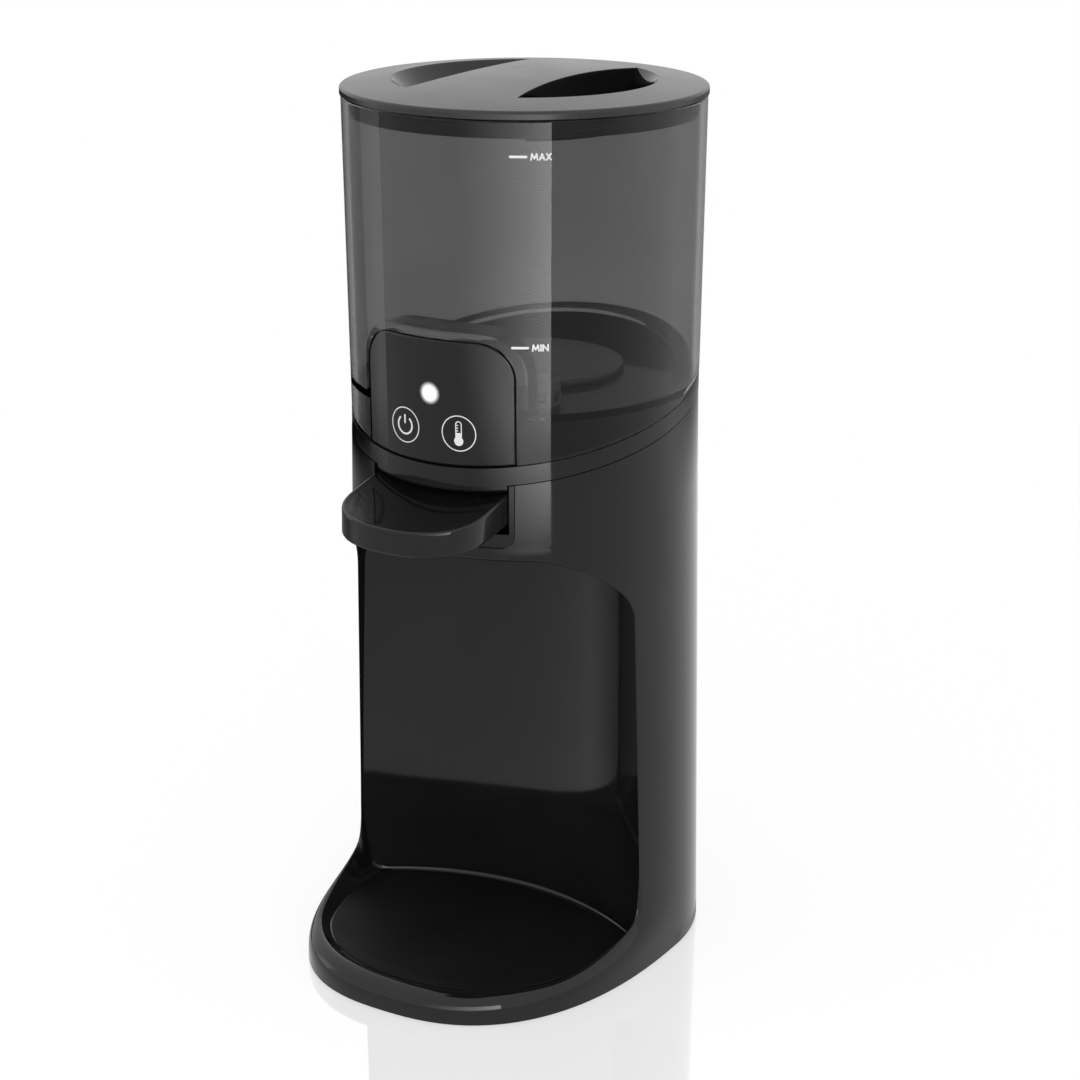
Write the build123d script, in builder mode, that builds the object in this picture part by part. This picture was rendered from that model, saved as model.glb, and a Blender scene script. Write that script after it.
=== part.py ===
"""Countertop water dispenser for making up baby formula.

A lidded smoke-grey water tank lifts off a black base. The base has a bottle niche
with a rounded foot, a half-moon lever that opens a lift valve above the bottle, a touch
panel that stands in a notch of the tank, and a heater under the tank floor.
Sizes are millimetres. Heights are from the table, and the y of every piece is
measured from the tank's own upright axis, negative towards the front.
"""

import math
import os

from build123d import *

# Base body
BODY_FOOT_R = 74.6
BODY_TOP_R = 71.0
FOOT_REACH = 111.2
FOOT_SQUARENESS = 2.4
FOOT_SWELL = 0.64
FOOT_PAD_H = 1.0
BODY_WALL = 3.0
SEAM = 0.3
RIM_ROUND = 4.0

# The foot runs out from the column: height, and share of its full reach there
FOOT_STEPS = (
    (7.0, 1.0),
    (11.8, 0.89),
    (15.5, 0.70),
    (18.0, 0.49),
    (22.0, 0.25),
    (30.0, 0.07),
    (40.0, 0.0),
)
COLUMN_STEP = 55.0
OUTLINE_POINTS = 36

# Tilted seams between base, collar and tank
SEAM_TILT = 0.24
COLLAR_LOW_Z = 230.2
COLLAR_H = 7.5
COLLAR_SPIGOT = 5.0

# Bottle niche
NICHE_BACK_R = 95.0
NICHE_BACK_Y = 0.3
NICHE_FILLET = 7.0
ARCH_TOP_Z = 184.5
ARCH_HALF = 67.0
ARCH_SPLAY_HALF = 70.5
ARCH_CORNER_R = 28.0
TRAY_Z = 10.0
TRAY_R = 60.0
TRAY_SLOPE = 57.0
TRAY_FILLET = 12.0
POUR_Y = -40.5
LINER_WALL = 2.5

# Bottom plate, its feet and screws
PLATE_T = 2.5
PLATE_GAP = 0.3
PAD_R = 7.0
PAD_STUB_R = 3.0
PAD_SPOTS = ((-46.0, 40.0), (46.0, 40.0), (-44.0, -68.0), (44.0, -68.0))
SCREW_SPOTS_REAR = ((-57.0, 33.0), (57.0, 33.0))
SCREW_SPOTS_FRONT = ((-28.0, -76.0), (28.0, -76.0))
SCREW_R = 1.5
SCREW_HEAD_R = 3.0
SCREW_HEAD_H = 1.4
SCREW_L = 7.5
BOSS_R = 6.0

# Tank
TANK_TOP_R = 72.5
TANK_TOP_Z = 356.1
TANK_WALL = 2.6
TANK_FLOOR_Z = 243.0
TANK_FLOOR_T = 3.0
PLUG_R = 64.3
LIFT_GAP = 0.3

# Lid
LID_R = 73.0
LID_RIM_T = 3.0
LID_CROWN = 4.5
CROWN_AT_HALF = 0.75
LID_PLATE_T = 3.0
LID_SKIRT_R = 68.9
LID_SKIRT_T = 2.6
LID_SKIRT_H = 7.5
LID_EDGE_ROUND = 1.2
SEAL_GROOVE = 1.2
SEAL_H = 3.0
SEAL_LIP = 0.6
GRIP_OUTER_R = 55.0
GRIP_WAIST_HALF = 20.5
GRIP_TIP_Y = 48.7
GRIP_DEPTH = 14.0
GRIP_SLOPE_IN = 15.0
GRIP_UNDERCUT = 1.5
GRIP_WALL = 2.0

# Deck that carries the tank, and the tower of the touch panel
DECK_R = 67.4
DECK_T = 3.0
DECK_WALL = 2.6
PANEL_HALF = 33.3
PANEL_TOP_Z = 271.0
PANEL_CORNER_R = 14.0
PANEL_T = 2.5
NOTCH_GAP = 0.6
TOWER_BACK_Y = -55.0
TOWER_EDGE = 1.2
BOARD_T = 1.6
BOARD_HALF = 27.0
BOARD_LOW_Z = 228.0
BOARD_HIGH_Z = 262.0
BOARD_Y = -60.5
LIGHT_Z = 251.5
LIGHT_R = 3.0
LIGHT_CHIP = 1.2

# Lever and its bezel
BEZEL_HALF = 33.5
BEZEL_LOW_Z = 189.5
BEZEL_CORNER_R = 4.0
BEZEL_T = 2.6
LEVER_SLOT_HALF = 31.4
LEVER_SLOT_LOW_Z = 195.2
LEVER_ROOT_Y = -62.0
LEVER_TOP_Z = 210.6
LEVER_HALF = 30.4
LEVER_STRAIGHT = 26.6
LEVER_LENGTH = 40.6
LEVER_CORNER_R = 16.0
LEVER_T = 9.6
LEVER_DISH_DEPTH = 2.4
LEVER_RIM = 3.4
LEVER_ROUND = 1.5
LEVER_CHEEK = 1.5
LEVER_SWING = 3.5
PIVOT_Y = -57.0
PIVOT_Z = 206.6
HUB_R = 4.4
HUB_HALF = 17.0
PIN_R = 1.6
PIN_FIT = 0.05
EAR_GAP = 0.5
EAR_T = 4.0
FORK_T = 3.0
FORK_RISE = 2.5
FORK_BACK_Y = -34.5
FORK_IN = 4.6
FORK_OUT = 9.0

# Lift valve over the bottle
VALVE_R = 11.0
CHAMBER_R = 8.0
CHAMBER_FLOOR_Z = 192.0
CHAMBER_TOP_Z = 201.0
OUTLET_BORE_R = 4.0
SPIGOT_R = 5.6
SPIGOT_LOW_Z = 179.5
NOZZLE_R = 8.0
NOZZLE_TIP_R = 6.6
NOZZLE_LOW_Z = 176.5
STEM_R = 3.0
STEM_FIT = 0.05
STEM_TOP_Z = 223.0
SEAL_DISC_R = 6.4
SEAL_DISC_T = 2.5
DIAPHRAGM_T = 1.5
CAP_T = 2.0
LIFT_PIN_R = 1.5
SPRING_SEAT_R = 6.4
SPRING_SEAT_T = 1.5
SPRING_R = 4.6
SPRING_WIRE_R = 0.5
SPRING_TURNS = 7
SPRING_CUP_R = 7.4

# Feed from the tank to the valve
PORT_X = 29.0
PORT_BORE_R = 5.5
PORT_SPIGOT_R = 7.4
PORT_SPIGOT_L = 7.0
PORT_CLEAR = 1.0
SOCKET_BORE_R = 8.2
SOCKET_R = 10.4
SOCKET_FLOOR_Z = 230.0
SOCKET_FLOOR_T = 2.0
GASKET_T = 2.6
BARB_R = 3.8
RIB_HALF = 0.6
FEED_BORE_R = 2.6
BARB_L = 8.0
HOSE_WALL = 1.4
INLET_Z = 196.5
HOSE_BEND_R = 9.0

# Stop valve of the tank
POPPET_R = 7.4
POPPET_T = 1.6
POPPET_LIFT = 2.0
POPPET_STEM_R = 1.6
POPPET_SEAL_T = 0.8
CAGE_R = 10.0
CAGE_WALL = 1.6
CAGE_H = 9.0
CAGE_SLOTS = 8
CAGE_SLOT_W = 4.0
POPPET_SPRING_R = 4.0
POPPET_SPRING_WIRE_R = 0.3
POPPET_SPRING_TURNS = 3

# Heating
HEAT_PLATE_R = 37.0
HEAT_PLATE_T = 2.2
HEAT_SEAL_T = 0.8
HEAT_HOLE_R = 34.0
HEAT_Y = 7.0
HEAT_FIT = 0.4
HEATER_INSET = 2.0
HEATER_FLANGE = 3.0
HEATER_FLANGE_T = 3.0
COIL_R = 23.0
COIL_TUBE_R = 3.0
COIL_ARC = 320.0
SENSOR_R = 4.0
SENSOR_H = 7.0

# Power side
MAIN_BOARD_HALF = 36.0
MAIN_BOARD_Y = 32.0
MAIN_BOARD_LOW_Z = 24.0
MAIN_BOARD_HIGH_Z = 118.0
POST_HALF_W = 4.0
POST_DEPTH = 7.0
SLOT_DEPTH = 6.0
SLOT_FIT = 0.1

# Blocks on the main board: place (x, low z), then width, depth and height
BOARD_PARTS = (
    ((-16.0, 40.0), (26.0, 16.0, 24.0)),
    ((16.0, 44.0), (14.0, 12.0, 18.0)),
    ((10.0, 80.0), (20.0, 4.0, 20.0)),
)

# Power inlet
INLET_BOX_HALF = 12.0
INLET_BOX_LOW_Z = 18.0
INLET_BOX_HIGH_Z = 37.0
INLET_BACK_Y = 72.6
INLET_FRONT_Y = 52.0
INLET_CAVITY = 2.2
INLET_CAVITY_DEPTH = 13.0
INLET_FLANGE = 3.0
INLET_FLANGE_T = 2.0
INLET_FLANGE_SET = 3.4
CONTACT_R = 1.2
CONTACT_HALF = 4.0

# Sizes that follow from the ones above
AXIS_Y = (FOOT_REACH - BODY_FOOT_R) / 2
BODY_LOW_Z = FOOT_PAD_H
PLATE_TOP_Z = BODY_LOW_Z + PLATE_T
COLLAR_TOP_Z = COLLAR_LOW_Z + COLLAR_H
BODY_HIGH_Z = COLLAR_TOP_Z + SEAM_TILT * BODY_FOOT_R + COLLAR_SPIGOT
TANK_FLOOR_LOW_Z = TANK_FLOOR_Z - TANK_FLOOR_T
DECK_TOP_Z = TANK_FLOOR_LOW_Z - LIFT_GAP
DECK_LOW_Z = DECK_TOP_Z - DECK_T
LID_LOW_Z = TANK_TOP_Z + LIFT_GAP
LID_RIM_Z = LID_LOW_Z + LID_RIM_T
FORK_TOP_Z = PIVOT_Z + FORK_RISE
HEATER_R = HEAT_HOLE_R - HEATER_INSET
NICHE_CENTRE_Y = NICHE_BACK_Y - NICHE_BACK_R
FAR = 200.0
SEAM_NORMAL = (0.0, -SEAM_TILT, 1.0)

os.makedirs("parts", exist_ok=True)


def level(z, x=0.0, y=0.0):
    """Horizontal plane at height z, centred on (x, y) from the tank axis."""
    return Plane(origin=(x, AXIS_Y + y, z))


def side(x=0.0, y=0.0):
    """Side-view plane: sketch x runs to the back, sketch y runs up."""
    return Plane(origin=(x, AXIS_Y + y, 0), x_dir=(0, 1, 0), z_dir=(1, 0, 0))


def front(y=0.0):
    """Front-view plane: sketch x runs to the right, sketch y runs up."""
    return Plane(origin=(0, AXIS_Y + y, 0), x_dir=(1, 0, 0), z_dir=(0, -1, 0))


def post(x=0.0, y=0.0):
    """Upright axis through (x, y)."""
    return Axis((x, AXIS_Y + y, 0), (0, 0, 1))


def seam_plane(z):
    """Plane of a tilted seam that crosses the tank axis at height z."""
    return Plane(origin=(0, AXIS_Y, z), x_dir=(1, 0, 0), z_dir=SEAM_NORMAL)


def seam_height(z, y):
    return z + SEAM_TILT * y


def turned(points, x=0.0, y=0.0):
    """Solid turned about an upright axis from (radius, height) corners."""
    with BuildPart() as body:
        with BuildSketch(side(x, y)):
            with BuildLine():
                Polyline(*points, close=True)
            make_face()
        revolve(axis=post(x, y))
    return body.part


def ring(outer, inner, low, high, x=0.0, y=0.0):
    return turned([(inner, low), (outer, low), (outer, high), (inner, high)], x, y)


def rod(radius, low, high, x=0.0, y=0.0):
    return ring(radius, 0.0, low, high, x, y)


def cross_rod(radius, half, y, z):
    """Rod lying left to right."""
    with BuildPart() as body:
        with BuildSketch(side(-half, 0)):
            with Locations((y, z)):
                Circle(radius)
        extrude(amount=2 * half)
    return body.part


def block(x_range, y_range, z_range):
    """Box between its low and high corners."""
    with BuildPart() as body:
        with BuildSketch(level(z_range[0])):
            with Locations(((x_range[0] + x_range[1]) / 2, (y_range[0] + y_range[1]) / 2)):
                Rectangle(x_range[1] - x_range[0], y_range[1] - y_range[0])
        extrude(amount=z_range[1] - z_range[0])
    return body.part


def band(low, high):
    """Slab between two side-view lines, each a list of (y, z) points from front to back."""
    with BuildPart() as body:
        with BuildSketch(side(-FAR)):
            with BuildLine():
                Polyline(*low, *reversed(high), close=True)
            make_face()
        extrude(amount=2 * FAR)
    return body.part


def tilted_slab(low, high):
    """Slab between two seam planes given by their heights on the axis."""
    ends = (-FAR, FAR)
    return band([(y, seam_height(low, y)) for y in ends], [(y, seam_height(high, y)) for y in ends])


def tower_shape(grow, y_back, y_front):
    """Round-shouldered upright of the touch panel, grown by a margin, between two depths."""
    half = PANEL_HALF + grow
    high = PANEL_TOP_Z + grow
    low = BEZEL_LOW_Z
    with BuildPart() as body:
        with BuildSketch(front(y_back)) as outline:
            with Locations((0, (low + high) / 2)):
                Rectangle(2 * half, high - low)
            fillet(outline.vertices().group_by(Axis.Y)[-1], PANEL_CORNER_R + grow)
        extrude(amount=y_back - y_front)
    return body.part


def coil(radius, wire, low, high, turns, x=0.0, y=0.0):
    """Compression spring standing on its lower end."""
    rise = high - low - 2 * wire
    with BuildPart() as body:
        with BuildLine(level(low + wire, x, y)) as path:
            Helix(pitch=rise / turns, height=rise, radius=radius)
        with BuildSketch(Plane(origin=path.line @ 0, z_dir=path.line % 0)):
            Circle(wire)
        sweep()
    return body.part


def body_radius(z):
    """Radius of the base's cone at a height."""
    return BODY_FOOT_R + (BODY_TOP_R - BODY_FOOT_R) * z / COLLAR_LOW_Z


def tank_radius(z):
    """Radius of the tank's cone at a height."""
    return BODY_TOP_R + (TANK_TOP_R - BODY_TOP_R) * (z - COLLAR_TOP_Z) / (TANK_TOP_Z - COLLAR_TOP_Z)


def tank_cone(inset, low, high):
    return turned([(0, low), (tank_radius(low) - inset, low), (tank_radius(high) - inset, high), (0, high)])


def foot_outline(z, share, inset):
    """Points of the base's outline: a half circle behind, a squarish half oval in front."""
    radius = body_radius(z) - inset
    reach = radius + share * (FOOT_REACH - FOOT_SWELL - BODY_FOOT_R)
    power = 2 / (2 + share * (FOOT_SQUARENESS - 2))
    points = []
    for step in range(OUTLINE_POINTS):
        angle = 2 * math.pi * step / OUTLINE_POINTS
        across = math.sin(angle)
        along = math.cos(angle)
        if along >= 0:
            points.append((radius * across, radius * along))
        else:
            wide = math.copysign(abs(across) ** power, across)
            points.append((radius * wide, -reach * abs(along) ** power))
    return points


def body_form(inset):
    """Outer form of column and foot, set in by a margin, as one smooth loft.

    The loft swells a little past its lowest outlines, so those are drawn FOOT_SWELL short.
    """
    steps = [(BODY_LOW_Z, 1.0), *FOOT_STEPS]
    top = FOOT_STEPS[-1][0]
    count = math.ceil((BODY_HIGH_Z - top) / COLUMN_STEP)
    steps += [(top + (BODY_HIGH_Z - top) * (k + 1) / count, 0.0) for k in range(count)]
    with BuildPart() as body:
        for z, share in steps:
            with BuildSketch(level(z)):
                with BuildLine():
                    Spline(*foot_outline(z, share, inset), periodic=True)
                make_face()
        loft()
    return body.part


def niche_form(grow):
    """Space of the bottle niche, grown by a wall: arch, concave back and dished tray."""
    back_r = NICHE_BACK_R + grow
    floor = TRAY_Z - grow
    roof = ARCH_TOP_Z + grow
    round_r = NICHE_FILLET + grow
    slope = math.radians(TRAY_SLOPE)
    arch_foot = FOOT_STEPS[-1][0]
    with BuildPart() as opening:
        with BuildSketch(front(NICHE_BACK_Y + back_r)) as arch:
            with BuildLine():
                Polyline(
                    (-ARCH_SPLAY_HALF - grow, arch_foot),
                    (ARCH_SPLAY_HALF + grow, arch_foot),
                    (ARCH_HALF + grow, roof),
                    (-ARCH_HALF - grow, roof),
                    close=True,
                )
            make_face()
            fillet(arch.vertices().group_by(Axis.Y)[-1], ARCH_CORNER_R + grow)
        extrude(amount=FOOT_REACH + FAR)
        with BuildSketch(side(0, POUR_Y)) as dish:
            rise = ARCH_TOP_Z - ARCH_CORNER_R - floor
            with BuildLine():
                Polyline(
                    (0, floor),
                    (TRAY_R + grow, floor),
                    (TRAY_R + grow + rise / math.tan(slope), floor + rise),
                    (0, floor + rise),
                    close=True,
                )
            make_face()
            corner = dish.vertices().group_by(Axis.Y)[0].sort_by(Axis.X)[-1]
            fillet(corner, TRAY_FILLET)
        revolve(axis=post(0, POUR_Y))
        with BuildSketch(side(0, NICHE_CENTRE_Y)) as back:
            with BuildLine():
                Polyline((0, floor), (-back_r, floor), (-back_r, roof), (0, roof), close=True)
            make_face()
            fillet(back.vertices().sort_by(Axis.X)[:2], round_r)
        revolve(axis=post(0, NICHE_CENTRE_Y), mode=Mode.INTERSECT)
    return opening.part


# Base: one outer form, from which housing, niche liner and bottom plate are taken
with BuildPart() as base_form:
    add(body_form(0))
    add(niche_form(0), mode=Mode.SUBTRACT)
    split(bisect_by=seam_plane(COLLAR_LOW_Z), keep=Keep.BOTTOM)
    skin = base_form.faces().sort_by(SortBy.AREA)[-1]
    rim = skin.edges().filter_by(
        lambda edge: BODY_LOW_Z + RIM_ROUND < edge.bounding_box().max.Z < ARCH_TOP_Z + RIM_ROUND
    )
    fillet(rim, RIM_ROUND)

# Outer housing
with BuildPart() as base_housing:
    add(base_form.part)
    add(body_form(BODY_WALL), mode=Mode.SUBTRACT)
    for x, y in SCREW_SPOTS_REAR:
        add(ring(BOSS_R, SCREW_R + PIN_FIT, PLATE_TOP_Z, PLATE_TOP_Z + 2 * BOSS_R, x, y))
    with BuildSketch(front(TOWER_BACK_Y)) as bezel_hole:
        with Locations((0, (BEZEL_LOW_Z + COLLAR_TOP_Z) / 2)):
            Rectangle(2 * BEZEL_HALF, COLLAR_TOP_Z - BEZEL_LOW_Z)
        fillet(bezel_hole.vertices().group_by(Axis.Y)[0], BEZEL_CORNER_R)
    extrude(amount=FAR, mode=Mode.SUBTRACT)
    add(
        block(
            (-INLET_BOX_HALF - SEAM, INLET_BOX_HALF + SEAM),
            (INLET_FRONT_Y, FAR),
            (INLET_BOX_LOW_Z - SEAM, INLET_BOX_HIGH_Z + SEAM),
        ),
        mode=Mode.SUBTRACT,
    )

# Niche liner: back wall, ceiling and dished tray, with the ears that carry the lever
NICHE_ROOF_Z = ARCH_TOP_Z + LINER_WALL
EAR_IN = HUB_HALF + EAR_GAP
EAR_REACH = HUB_R - EAR_GAP
with BuildPart() as niche_liner:
    add(base_form.part)
    add(body_form(BODY_WALL + SEAM), mode=Mode.INTERSECT)
    add(niche_form(LINER_WALL), mode=Mode.INTERSECT)
    for x, y in SCREW_SPOTS_FRONT:
        add(ring(BOSS_R, SCREW_R + PIN_FIT, PLATE_TOP_Z, TRAY_Z - LINER_WALL / 2, x, y))
        add(rod(SCREW_R + PIN_FIT, PLATE_TOP_Z, TRAY_Z - LINER_WALL / 3, x, y), mode=Mode.SUBTRACT)
    for x in (-EAR_IN - EAR_T, EAR_IN):
        add(
            block(
                (x, x + EAR_T),
                (PIVOT_Y - EAR_REACH, PIVOT_Y + EAR_REACH),
                (ARCH_TOP_Z + LINER_WALL / 2, PIVOT_Z + EAR_REACH),
            )
        )
    add(cross_rod(PIN_R + PIN_FIT, FAR / 2, PIVOT_Y, PIVOT_Z), mode=Mode.SUBTRACT)
    hole_z = (ARCH_TOP_Z - LINER_WALL, NICHE_ROOF_Z + LINER_WALL)
    add(rod(NOZZLE_R + NOTCH_GAP, *hole_z, 0, POUR_Y), mode=Mode.SUBTRACT)

# Bottom plate, with slotted posts for the main board
with BuildPart() as bottom_plate:
    add(body_form(BODY_WALL + PLATE_GAP))
    add(block((-FAR, FAR), (-FAR, FAR), (BODY_LOW_Z, PLATE_TOP_Z)), mode=Mode.INTERSECT)
    post_top = MAIN_BOARD_LOW_Z + SLOT_DEPTH
    for x in (-MAIN_BOARD_HALF, MAIN_BOARD_HALF):
        add(
            block(
                (x - POST_HALF_W, x + POST_HALF_W),
                (MAIN_BOARD_Y - POST_DEPTH / 2, MAIN_BOARD_Y + POST_DEPTH / 2),
                (PLATE_TOP_Z, post_top),
            )
        )
    slot_half = BOARD_T / 2 + SLOT_FIT
    add(
        block(
            (-MAIN_BOARD_HALF - SLOT_FIT, MAIN_BOARD_HALF + SLOT_FIT),
            (MAIN_BOARD_Y - slot_half, MAIN_BOARD_Y + slot_half),
            (MAIN_BOARD_LOW_Z, post_top + SLOT_DEPTH),
        ),
        mode=Mode.SUBTRACT,
    )
    for x, y in PAD_SPOTS:
        add(rod(PAD_STUB_R + PIN_FIT, BODY_LOW_Z, PLATE_TOP_Z, x, y), mode=Mode.SUBTRACT)
    for x, y in SCREW_SPOTS_REAR + SCREW_SPOTS_FRONT:
        add(rod(SCREW_R + PIN_FIT, BODY_LOW_Z, PLATE_TOP_Z, x, y), mode=Mode.SUBTRACT)
        add(rod(SCREW_HEAD_R + SEAM, BODY_LOW_Z, BODY_LOW_Z + SCREW_HEAD_H, x, y), mode=Mode.SUBTRACT)

with BuildPart() as rubber_feet:
    for x, y in PAD_SPOTS:
        add(rod(PAD_R, 0, FOOT_PAD_H, x, y))
        add(rod(PAD_STUB_R, FOOT_PAD_H, PLATE_TOP_Z - SEAM, x, y))

with BuildPart() as base_screws:
    for x, y in SCREW_SPOTS_REAR + SCREW_SPOTS_FRONT:
        head_low = BODY_LOW_Z + SEAM / 2
        head_high = BODY_LOW_Z + SCREW_HEAD_H
        add(rod(SCREW_HEAD_R, head_low, head_high, x, y))
        add(rod(SCREW_R, head_high, head_low + SCREW_L, x, y))

# Collar: the trim ring between the two tilted seams
with BuildPart() as collar_ring:
    add(ring(BODY_TOP_R, DECK_R + SEAM, BEZEL_LOW_Z, BODY_HIGH_Z))
    add(tilted_slab(COLLAR_LOW_Z + SEAM, COLLAR_TOP_Z), mode=Mode.INTERSECT)

# Deck frame: well and deck under the tank, and the tower behind the touch panel
CUP_LOW_Z = DECK_LOW_Z - COLLAR_SPIGOT
with BuildPart() as deck_wall:
    add(ring(DECK_R, DECK_R - DECK_WALL, BEZEL_LOW_Z, BODY_HIGH_Z))
    spigot_z = COLLAR_LOW_Z - COLLAR_SPIGOT
    low_meet = (DECK_LOW_Z - spigot_z) / SEAM_TILT
    top_meet = (DECK_TOP_Z - COLLAR_TOP_Z) / SEAM_TILT
    low_line = [(-FAR, seam_height(spigot_z, -FAR)), (low_meet, DECK_LOW_Z), (FAR, DECK_LOW_Z)]
    top_line = [(-FAR, DECK_TOP_Z), (top_meet, DECK_TOP_Z), (FAR, seam_height(COLLAR_TOP_Z, FAR))]
    add(band(low_line, top_line), mode=Mode.INTERSECT)

with BuildPart() as lever_room:
    add(block((-BEZEL_HALF, BEZEL_HALF), (-FAR, TOWER_BACK_Y), (BEZEL_LOW_Z, COLLAR_TOP_Z)))
    add(tilted_slab(BODY_LOW_Z, COLLAR_LOW_Z + SEAM), mode=Mode.INTERSECT)

with BuildPart() as tower:
    add(tower_shape(-TOWER_EDGE, TOWER_BACK_Y, -FAR))
    add(tank_cone(PANEL_T + SEAM, BEZEL_LOW_Z, TANK_TOP_Z), mode=Mode.INTERSECT)
    add(tilted_slab(COLLAR_TOP_Z + SEAM, FAR + COLLAR_TOP_Z), mode=Mode.INTERSECT)

with BuildPart() as deck_frame:
    add(deck_wall.part)
    add(lever_room.part, mode=Mode.SUBTRACT)
    add(rod(DECK_R, DECK_LOW_Z, DECK_TOP_Z))
    add(tower.part)
    add(ring(SPRING_CUP_R, SPRING_SEAT_R, CUP_LOW_Z, DECK_LOW_Z, 0, POUR_Y))
    add(
        block(
            (-BOARD_HALF - SLOT_FIT, BOARD_HALF + SLOT_FIT),
            (-FAR, BOARD_Y),
            (BOARD_LOW_Z - SLOT_FIT, BOARD_HIGH_Z + SLOT_FIT),
        ),
        mode=Mode.SUBTRACT,
    )
    add(rod(PORT_SPIGOT_R + PORT_CLEAR, DECK_LOW_Z, DECK_TOP_Z, PORT_X, POUR_Y), mode=Mode.SUBTRACT)
    add(rod(HEATER_R + HEAT_FIT, DECK_LOW_Z, DECK_TOP_Z, 0, HEAT_Y), mode=Mode.SUBTRACT)

# Touch panel: a curved cover flush with the tank, the board and its light
with BuildPart() as control_panel:
    add(tower_shape(0, TOWER_BACK_Y, -FAR))
    add(tank_cone(0, BEZEL_LOW_Z, TANK_TOP_Z), mode=Mode.INTERSECT)
    add(tank_cone(PANEL_T, BEZEL_LOW_Z, TANK_TOP_Z), mode=Mode.SUBTRACT)
    add(tilted_slab(COLLAR_TOP_Z + SEAM, FAR + COLLAR_TOP_Z), mode=Mode.INTERSECT)
    face_edges = control_panel.faces().sort_by(SortBy.AREA)[-1].edges()
    fillet(face_edges, PANEL_T / 3)

BOARD_FACE_Y = BOARD_Y - BOARD_T
with BuildPart() as touch_board:
    add(block((-BOARD_HALF, BOARD_HALF), (BOARD_FACE_Y, BOARD_Y), (BOARD_LOW_Z, BOARD_HIGH_Z)))

CHIP_FACE_Y = BOARD_FACE_Y - LIGHT_CHIP
with BuildPart() as status_light:
    add(
        block(
            (-LIGHT_CHIP, LIGHT_CHIP),
            (CHIP_FACE_Y, BOARD_FACE_Y),
            (LIGHT_Z - LIGHT_CHIP, LIGHT_Z + LIGHT_CHIP),
        )
    )

with BuildPart() as light_guide:
    with BuildSketch(front(CHIP_FACE_Y)):
        with Locations((0, LIGHT_Z)):
            Circle(LIGHT_R)
    extrude(amount=FAR)
    add(tank_cone(PANEL_T, BEZEL_LOW_Z, TANK_TOP_Z), mode=Mode.INTERSECT)

# Tank: tapered shell with a plug that nests in the deck and a notch round the tower
NOTCH_BACK_Y = TOWER_BACK_Y + NOTCH_GAP
with BuildPart() as tank_outside:
    add(tank_cone(0, BEZEL_LOW_Z, TANK_TOP_Z))
    split(bisect_by=seam_plane(COLLAR_TOP_Z + LIFT_GAP), keep=Keep.TOP)
    add(rod(BODY_TOP_R - TANK_WALL, BEZEL_LOW_Z, TANK_FLOOR_LOW_Z), mode=Mode.SUBTRACT)
    add(rod(PLUG_R, TANK_FLOOR_LOW_Z, BODY_HIGH_Z + TANK_WALL))
    fillet(tank_outside.faces().sort_by(Axis.Z)[-1].edges(), TANK_WALL / 3)

with BuildPart() as water_space:
    add(tank_cone(TANK_WALL, TANK_FLOOR_Z, TANK_TOP_Z + TANK_WALL))
    split(bisect_by=seam_plane(COLLAR_TOP_Z + LIFT_GAP + TANK_WALL), keep=Keep.TOP)
    add(rod(PLUG_R - TANK_WALL, TANK_FLOOR_Z, TANK_TOP_Z))
    add(tower_shape(NOTCH_GAP + TANK_WALL, NOTCH_BACK_Y + TANK_WALL, -FAR), mode=Mode.SUBTRACT)

with BuildPart() as tank:
    add(tank_outside.part)
    add(water_space.part, mode=Mode.SUBTRACT)
    add(tower_shape(NOTCH_GAP, NOTCH_BACK_Y, -FAR), mode=Mode.SUBTRACT)
    spigot_low = TANK_FLOOR_LOW_Z - PORT_SPIGOT_L
    add(rod(PORT_SPIGOT_R, spigot_low, TANK_FLOOR_LOW_Z, PORT_X, POUR_Y))
    add(rod(PORT_BORE_R, spigot_low, TANK_FLOOR_Z, PORT_X, POUR_Y), mode=Mode.SUBTRACT)
    add(rod(HEAT_HOLE_R, TANK_FLOOR_LOW_Z, TANK_FLOOR_Z, 0, HEAT_Y), mode=Mode.SUBTRACT)

# Heat plate in the tank floor, with its gasket
HEAT_FLANGE_Z = TANK_FLOOR_Z + HEAT_SEAL_T
with BuildPart() as heat_plate:
    add(rod(HEAT_HOLE_R - HEAT_FIT, TANK_FLOOR_LOW_Z, HEAT_FLANGE_Z, 0, HEAT_Y))
    add(rod(HEAT_PLATE_R, HEAT_FLANGE_Z, HEAT_FLANGE_Z + HEAT_PLATE_T, 0, HEAT_Y))
    fillet(heat_plate.faces().sort_by(Axis.Z)[-1].edges(), HEAT_PLATE_T / 2)

with BuildPart() as heat_plate_gasket:
    add(ring(HEAT_PLATE_R - HEAT_FIT, HEAT_HOLE_R, TANK_FLOOR_Z, HEAT_FLANGE_Z, 0, HEAT_Y))

# Stop valve in the tank's outlet, held open by the socket's rib while the tank is seated
SEAL_LOW_Z = TANK_FLOOR_Z + POPPET_LIFT
POPPET_LOW_Z = SEAL_LOW_Z + POPPET_SEAL_T
POPPET_TOP_Z = POPPET_LOW_Z + POPPET_T
CAGE_ROOF_Z = TANK_FLOOR_Z + CAGE_H - CAGE_WALL
with BuildPart() as tank_poppet:
    add(rod(POPPET_R, POPPET_LOW_Z, POPPET_TOP_Z, PORT_X, POUR_Y))
    add(rod(POPPET_STEM_R, SOCKET_FLOOR_Z + LIFT_GAP, POPPET_LOW_Z, PORT_X, POUR_Y))

with BuildPart() as poppet_seal:
    add(ring(POPPET_R, POPPET_STEM_R + PIN_FIT, SEAL_LOW_Z, POPPET_LOW_Z, PORT_X, POUR_Y))

with BuildPart() as poppet_spring:
    spring_ends = (POPPET_TOP_Z, CAGE_ROOF_Z)
    add(coil(POPPET_SPRING_R, POPPET_SPRING_WIRE_R, *spring_ends, POPPET_SPRING_TURNS, PORT_X, POUR_Y))

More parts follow.
